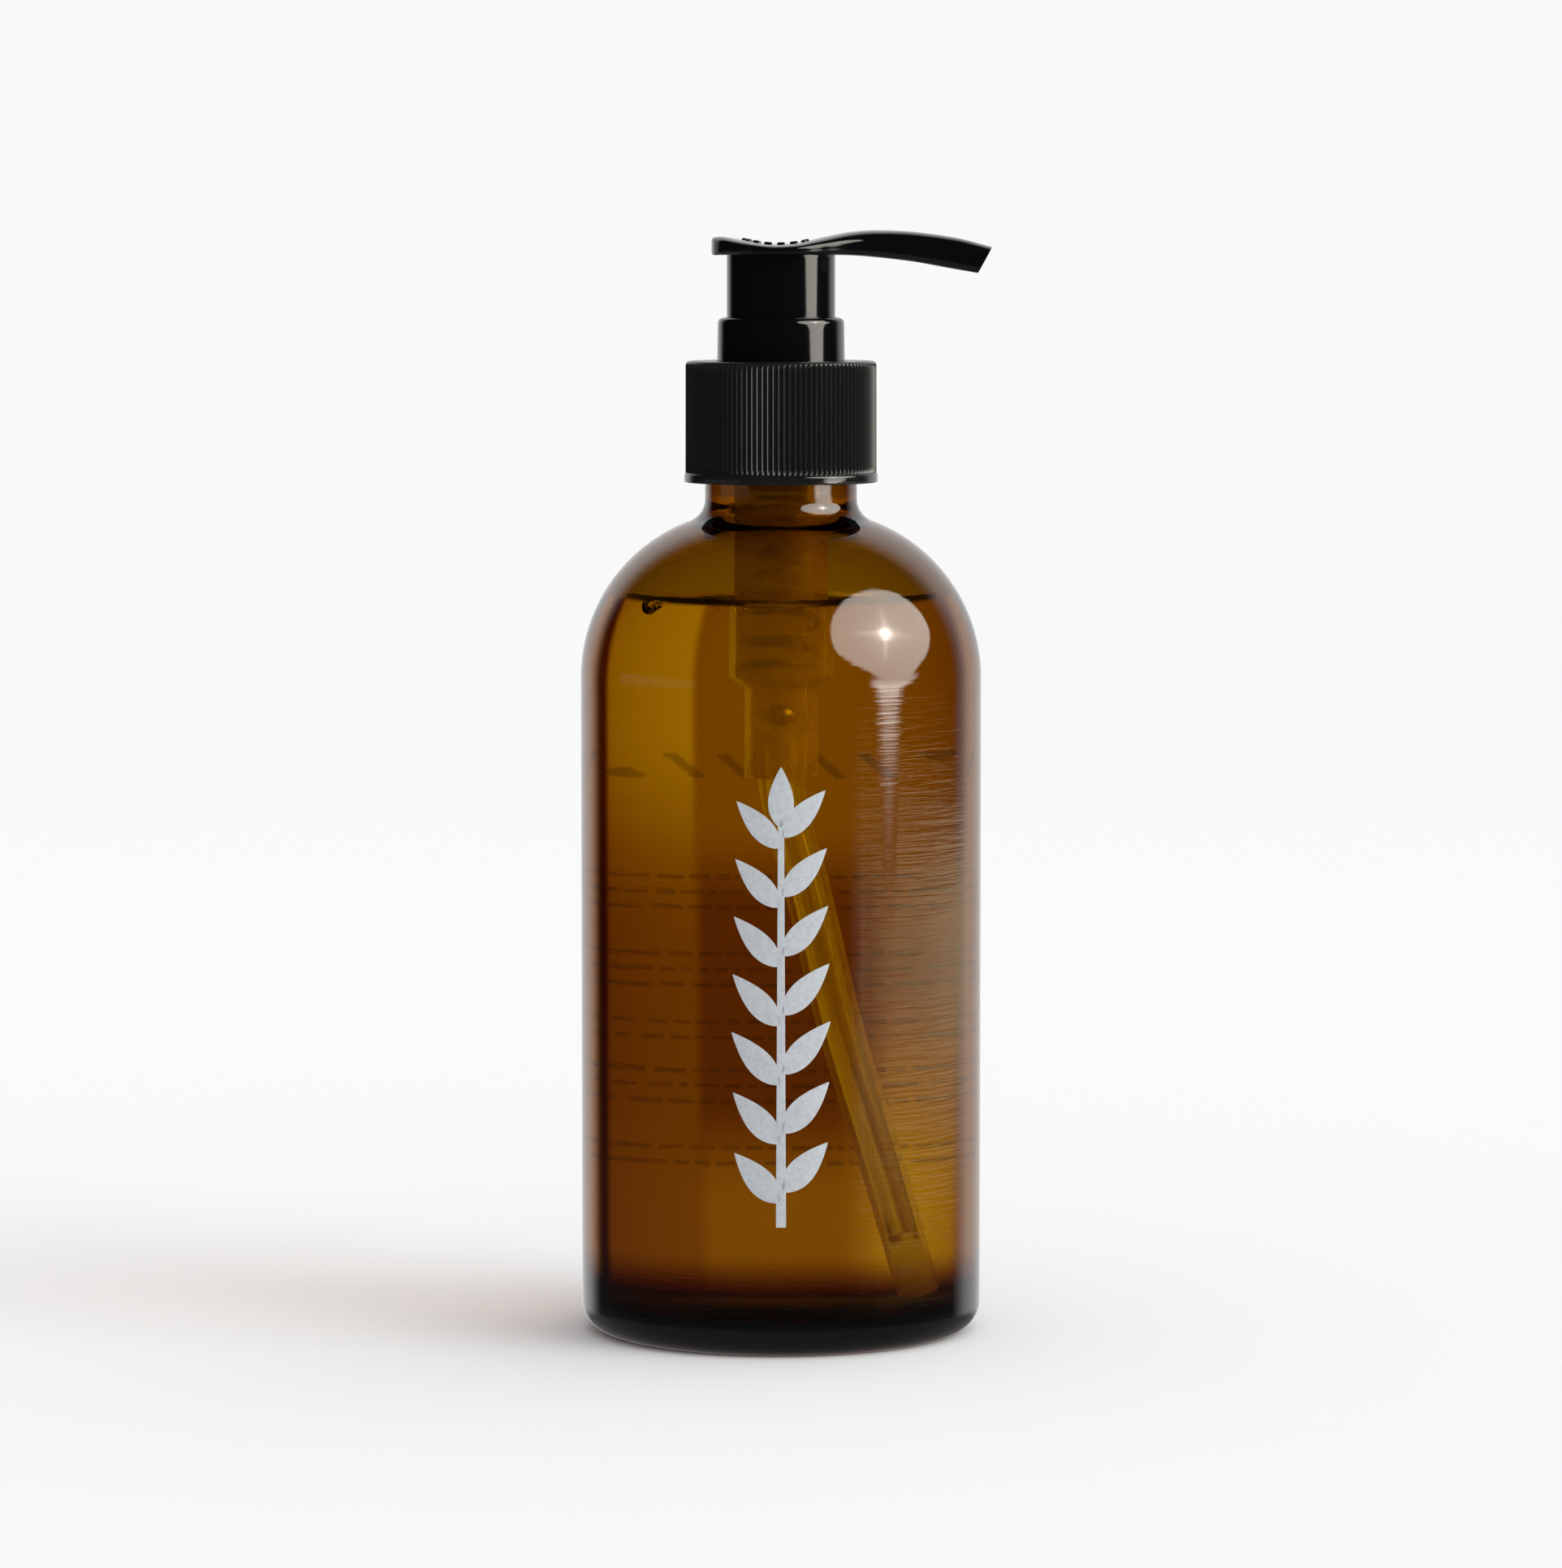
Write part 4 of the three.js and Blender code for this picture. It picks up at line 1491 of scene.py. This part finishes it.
@dataclass
class Studio:
    """Camera, pale floor, white surroundings, a soft key, and cards seen only in gloss or through glass."""

    distance: float = 0.993
    eye: float = 0.16594
    aim: float = 0.08324
    lens: float = 150.6
    white: float = 0.947
    fill: float = 0.84
    # The cards, in metres, and in degrees to the right of the camera and up.
    card_distance: float = 0.6
    box_turn: float = 68
    box_rise: float = 26
    box_drop: float = 0.06
    box_size: tuple[float, float] = (0.8, 0.74)
    wall_turn: float = -76
    wall_z: float = 0.094
    wall_size: tuple[float, float] = (0.66, 0.06)
    backing_place: tuple[float, float, float] = (0, 0.063, 0.046)
    backing_size: tuple[float, float] = (0.1, 0.132)

    def view(self) -> None:
        """Plain tone mapping and deep light paths for the nested clear walls."""
        scene = bpy.context.scene
        scene.view_settings.view_transform = "Standard"
        scene.cycles.max_bounces = 24
        scene.cycles.transmission_bounces = 24
        scene.cycles.glossy_bounces = 8
        scene.cycles.transparent_max_bounces = 32

    def camera(self) -> None:
        """A long lens straight in front, looking slightly down."""
        data = bpy.data.cameras.new("camera")
        data.lens = self.lens
        data.sensor_width = 36.0
        camera = bpy.data.objects.new("camera", data)
        camera.location = (0, -self.distance, self.eye)
        pitch = math.atan2(self.eye - self.aim, self.distance)
        camera.rotation_euler = (math.pi / 2 - pitch, 0, 0)
        bpy.context.scene.collection.objects.link(camera)
        bpy.context.scene.camera = camera

    def world(self) -> None:
        """White to the eye, warm and graded through glass, and mostly dark in gloss."""
        world = bpy.data.worlds.new("studio")
        bpy.context.scene.world = world
        world.use_nodes = True
        world.cycles.sampling_method = "NONE"
        sheet = NodeSheet(world.node_tree)
        aside, depth, height = sheet.axes(sheet.add("ShaderNodeTexCoord").outputs["Generated"])
        path = sheet.add("ShaderNodeLightPath")
        camera = Value(sheet, path.outputs["Is Camera Ray"])
        gloss = Value(sheet, path.outputs["Is Glossy Ray"])
        through = Value(sheet, path.outputs["Is Transmission Ray"])
        # In gloss: a bright wall behind, a table at the right with a thin bright line, and a dim floor.
        lower = height.step(-0.3, -0.16)
        edge = (depth + aside * 0.1).step(0.52, 0.8) * lower * 0.85
        band = height.step(-0.083, -0.1) * height.step(-0.15, -0.105)
        line = (((aside - 0.735) * 50) ** 2 + 1) ** -1 * depth.step(0.1, -0.1)
        table = (aside.step(0.6, 1.0) * 2.1 + line * 0.8) * band
        mirrored = edge + table + height.step(-0.1, -0.3) * 0.2 + 0.006
        # Through glass: paler above the horizon line behind, darker in front.
        backdrop = (height.step(-0.068, -0.054) * -0.55 + 1.05) * (depth.step(-0.3, 0.3) * 0.3 + 0.7)
        # On matt surfaces: an even fill, stronger from the right.
        around = (1 - camera - gloss - through).math("MAXIMUM", 0.0) * (aside * 0.5 + self.fill)
        strength = camera * self.white + gloss * (1 - through) * mirrored + through * backdrop + around
        warmth = (gloss * (1 - through) * table).math("MINIMUM", 1.0)
        tint = {0: 1.0, 1: warmth * -0.12 + 1, 2: warmth * -0.45 + 1}
        colour = sheet.add("ShaderNodeCombineColor", inputs=tint).outputs[0]
        background = sheet.add("ShaderNodeBackground", inputs={"Color": colour, "Strength": strength})
        sheet.add("ShaderNodeOutputWorld", inputs={"Surface": background.outputs[0]})

    def floor(self) -> None:
        """A pale floor that melts into the white surroundings."""
        reach = 6000.0
        corners = np.array([[-1, -1, 0], [1, -1, 0], [1, 1, 0], [-1, 1, 0]], float) * reach
        piece = mesh_piece("studio_floor", corners * MM, np.array([[0, 1, 2, 3]]), np.zeros((0, 3), int), 30)
        material = bpy.data.materials.new("pale_floor")
        material.use_nodes = True
        sheet = NodeSheet(material.node_tree)
        across, deep, _ = sheet.axes(sheet.place())
        away = (across * across + deep * deep) ** 0.5
        paper = sheet.add("ShaderNodeBsdfDiffuse", inputs={"Color": rgba(0.95, 0.95, 0.95)})
        clear = sheet.add("ShaderNodeBsdfTransparent")
        sheet.surface(sheet.mix(away.step(0.25, 1.6), paper, clear))
        piece.data.materials.append(material)
        piece.visible_glossy = False
        piece.visible_transmission = False

    def key(self) -> None:
        """A wide soft light from the right, which itself never shows in gloss."""
        data = bpy.data.lights.new("key", "SUN")
        data.energy = 1.1
        data.angle = math.radians(42)
        light = bpy.data.objects.new("key", data)
        light.rotation_euler = (math.radians(22), math.radians(58), 0)
        light.visible_glossy = False
        light.visible_transmission = False
        bpy.context.scene.collection.objects.link(light)

    def card(
        self,
        name: str,
        middle: Array,
        normal: Array,
        size: tuple[float, float],
        kind: str,
        paint: Callable[..., Any],
    ) -> None:
        """A glowing card that only one kind of ray can see.

        Args:
            name: The card's name.
            middle: Its middle, in metres.
            normal: The level or tilted direction that it faces.
            size: Its width and height.
            kind: The rays that see it, "glossy" or "transmission".
            paint: The glow's colour and strength and the card's cover, from the sheet and two
                coordinates that run from -1 to 1.
        """
        normal = normal / np.linalg.norm(normal)
        aside = np.cross([0, 0, 1.0], normal)
        aside /= np.linalg.norm(aside)
        up = np.cross(normal, aside) * size[1] / 2
        aside = aside * size[0] / 2
        corners = np.array(
            [middle - aside - up, middle + aside - up, middle + aside + up, middle - aside + up]
        )
        piece = mesh_piece(name, corners, np.array([[0, 1, 2, 3]]), np.zeros((0, 3), int), 30)
        for label, values in (("across", [-1.0, 1.0, 1.0, -1.0]), ("upwards", [-1.0, -1.0, 1.0, 1.0])):
            piece.data.attributes.new(label, "FLOAT", "POINT").data.foreach_set("value", values)
        material = bpy.data.materials.new(name)
        material.use_nodes = True
        material.cycles.emission_sampling = "NONE"
        sheet = NodeSheet(material.node_tree)
        u, v = (
            sheet.value("ShaderNodeAttribute", "Fac", {"attribute_name": along})
            for along in ("across", "upwards")
        )
        colour, strength, cover = paint(sheet, u, v)
        glow = sheet.add("ShaderNodeEmission", inputs={"Color": colour, "Strength": strength})
        clear = sheet.add("ShaderNodeBsdfTransparent")
        sheet.surface(sheet.mix(cover, clear, glow))
        piece.data.materials.append(material)
        for other in {"camera", "diffuse", "glossy", "transmission", "volume_scatter", "shadow"} - {kind}:
            setattr(piece, f"visible_{other}", False)

    @staticmethod
    def aimed(
        azimuth: float, elevation: float, distance: float, target: float = 0.105
    ) -> tuple[Array, Array]:
        """A place for a card.

        Args:
            azimuth: Degrees to the right of the camera, seen from the axis.
            elevation: Degrees up.
            distance: Metres from the axis.
            target: The height on the axis that it faces, in metres.

        Returns:
            The place and the direction back.
        """
        turn, rise = math.radians(azimuth), math.radians(elevation)
        away = np.array([math.sin(turn) * math.cos(rise), -math.cos(turn) * math.cos(rise), math.sin(rise)])
        return np.array([0, 0, target]) + away * distance, -away

    @staticmethod
    def softbox(sheet: NodeSheet, u: Value, v: Value) -> tuple[Any, Value, Value]:
        """A drop-shaped soft box with a hot lamp and a faint cross of ribs.

        A narrowing fall of light hangs under it.
        """
        disc_middle, disc_squash = 0.162, 1.19
        rise = (v - disc_middle) * disc_squash
        taper = rise.math("MINIMUM", 0.0) ** 2 * 0.7 + 1
        away = ((u * taper) ** 2 + rise**2) ** 0.5
        disc = away.step(1.0, 0.93)
        lean, cross = u * 0.94 + rise * 0.34, rise * 0.94 - u * 0.34
        ribs = ((lean * 30) ** 2 + 1) ** -1 + ((cross * 30) ** 2 + 1) ** -1
        hot = ((away * 9) ** 2 + 1) ** -2 * 30 + ribs * away.step(0.7, 0.0) * 5
        # The fall of light: its half width and its middle at each height, and its strength.
        reach = v.step(-0.9, -0.62) * 0.34 + 0.1
        middle = v.step(-0.55, -0.8) * 0.15
        fall = ((u - middle).math("ABSOLUTE") - reach).step(0.1, -0.12) * v.step(-0.98, -0.84)
        fall = fall * v.step(-0.5, -0.6) * (v.step(-0.86, -0.77) * 8.5 + 1.8 - v.step(-0.76, -0.62) * 5)
        glow = disc * (hot + 5.6 + away.step(1.0, 0.2) * 0.9) + (1 - disc) * fall
        return rgba(1, 0.96, 0.86), glow, glow.math("MULTIPLY", 9.0, clamp=True)

    @staticmethod
    def window(sheet: NodeSheet, u: Value, v: Value) -> tuple[Any, Value, Value]:
        """A dim strip of wall at the left, soft at its edges."""
        edge = (u * u).step(1.0, 0.8) * (v * v).step(1.0, 0.3)
        return rgba(1, 0.94, 0.92), edge * 0.19, edge

    @staticmethod
    def backing(sheet: NodeSheet, u: Value, v: Value) -> tuple[Any, float, Value]:
        """A shaded card close behind the bottle.

        The glass turns it left to right. Its glow is painted light and shade: it is darkest in its middle,
        paler at its foot, brighter where the upper left and the lower right show it, and gone at its top and
        sides.
        """
        # Each term is a share of the card's white: the dark core and its sides (painted shade), the foot, and
        # two paler places (painted light).
        offset = u.math("ABSOLUTE")
        core = u.step(0.1, 0.075) * u.step(-0.16, -0.04) * v.step(0.42, 0.18)
        # Painted light: a bright patch where a lamp's image shows through the glass.
        lamp = u.step(0.085, 0.105) * v.step(0.18, 0.66) * 0.48
        # Painted light: an olive glow at the lower right.
        painted_olive_glow = u.step(-0.04, -0.18) * v.step(0.05, -0.3) * 0.44
        foot = v.step(-0.236, -0.508)
        side = v.step(0.02, 0.44) * 0.13 + 0.45
        deep = (1 - foot) * (core * (0.27 - side) + side)
        pale = foot * (u.step(0.09, 0.07) * 0.13 + u.step(-0.04, -0.16) * 0.17 + 0.5)
        rim = u.step(0.5, 0.62) * 0.82 + u.step(-0.5, -0.68) * 0.35
        tone = (deep + pale + lamp + painted_olive_glow) * (1 - rim)
        green = tone**1.62
        colour = sheet.add("ShaderNodeCombineColor", inputs={0: tone, 1: green, 2: tone**4})
        return colour.outputs[0], 1.0, v.step(1.0, 0.84) * offset.step(1.0, 0.66)

    def build(self) -> None:
        """Sets up the whole studio."""
        self.view()
        self.camera()
        self.world()
        self.floor()
        self.key()

        middle, back = self.aimed(self.box_turn, self.box_rise, self.card_distance)
        middle = middle - np.cross(back, np.cross([0, 0, 1.0], back)) * self.box_drop
        for name, kind in (("soft_box", "glossy"), ("soft_box_through", "transmission")):
            self.card(name, middle, back, self.box_size, kind, self.softbox)
        middle, back = self.aimed(self.wall_turn, 0, self.card_distance, self.wall_z)
        self.card("left_wall", middle, back, self.wall_size, "glossy", self.window)
        # A glowing card behind the bottle, seen only through glass, with painted light and shade.
        place, facing = np.array(self.backing_place), np.array([0, -1.0, 0])
        self.card("backing_card", place, facing, self.backing_size, "transmission", self.backing)


# ---------------------------------------------------------------------------
# Assembly
# ---------------------------------------------------------------------------


def in_millimetres(node: str) -> tuple[Array, Array]:
    """A node's lowest and highest corners, in millimetres."""
    low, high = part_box(node)
    return np.array(low) / MM, np.array(high) / MM


def build_pump(shop: Workshop, oil_z: float) -> None:
    """Makes the collar and all of the pump."""
    low, high = in_millimetres("screw_collar")
    RibbedCollar(bottom=low[2], top=high[2]).build(shop)
    low, high = in_millimetres("lock_sleeve")
    GuideSleeve(bottom=low[2], top=high[2]).build(shop)
    low, high = in_millimetres("pump_housing")
    PumpHousing(flange=high[0], flange_top=high[2], bottom=low[2], oil_z=oil_z).build(shop)
    SuctionTube().build(shop)
    low, high = in_millimetres("return_spring")
    ReturnSpring(bottom=low[2], top=high[2], stroke=7.0).build(shop)
    insides = PumpInsides()
    insides.piston(shop, in_millimetres("piston")[0][2])
    stem_low, stem_high = in_millimetres("stem")
    insides.stem(shop, stem_low[2], stem_high[2])
    insides.plug(shop, in_millimetres("stem_plug")[0][2])
    insides.ball(shop, *in_millimetres("intake_ball"))
    insides.gasket(shop, *in_millimetres("neck_gasket"))
    SaddleHead(skirt_low=in_millimetres("actuator_head")[0][2]).build(shop)


def main() -> None:
    """Builds everything round the frame, in order."""
    logging.basicConfig(level=logging.INFO, format="%(message)s")
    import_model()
    Studio().build()
    shop = Workshop()
    _, high = in_millimetres("bottle_glass")
    bottle = GlassBottle(radius=high[0], lip_z=high[2])
    oil = OilFill(bottle)
    bottle.build(shop, oil.level)
    oil.build(shop)
    PrintedMarks(bottle.radius).build(shop)
    build_pump(shop, oil.level)


if __name__ == "__main__":
    main()
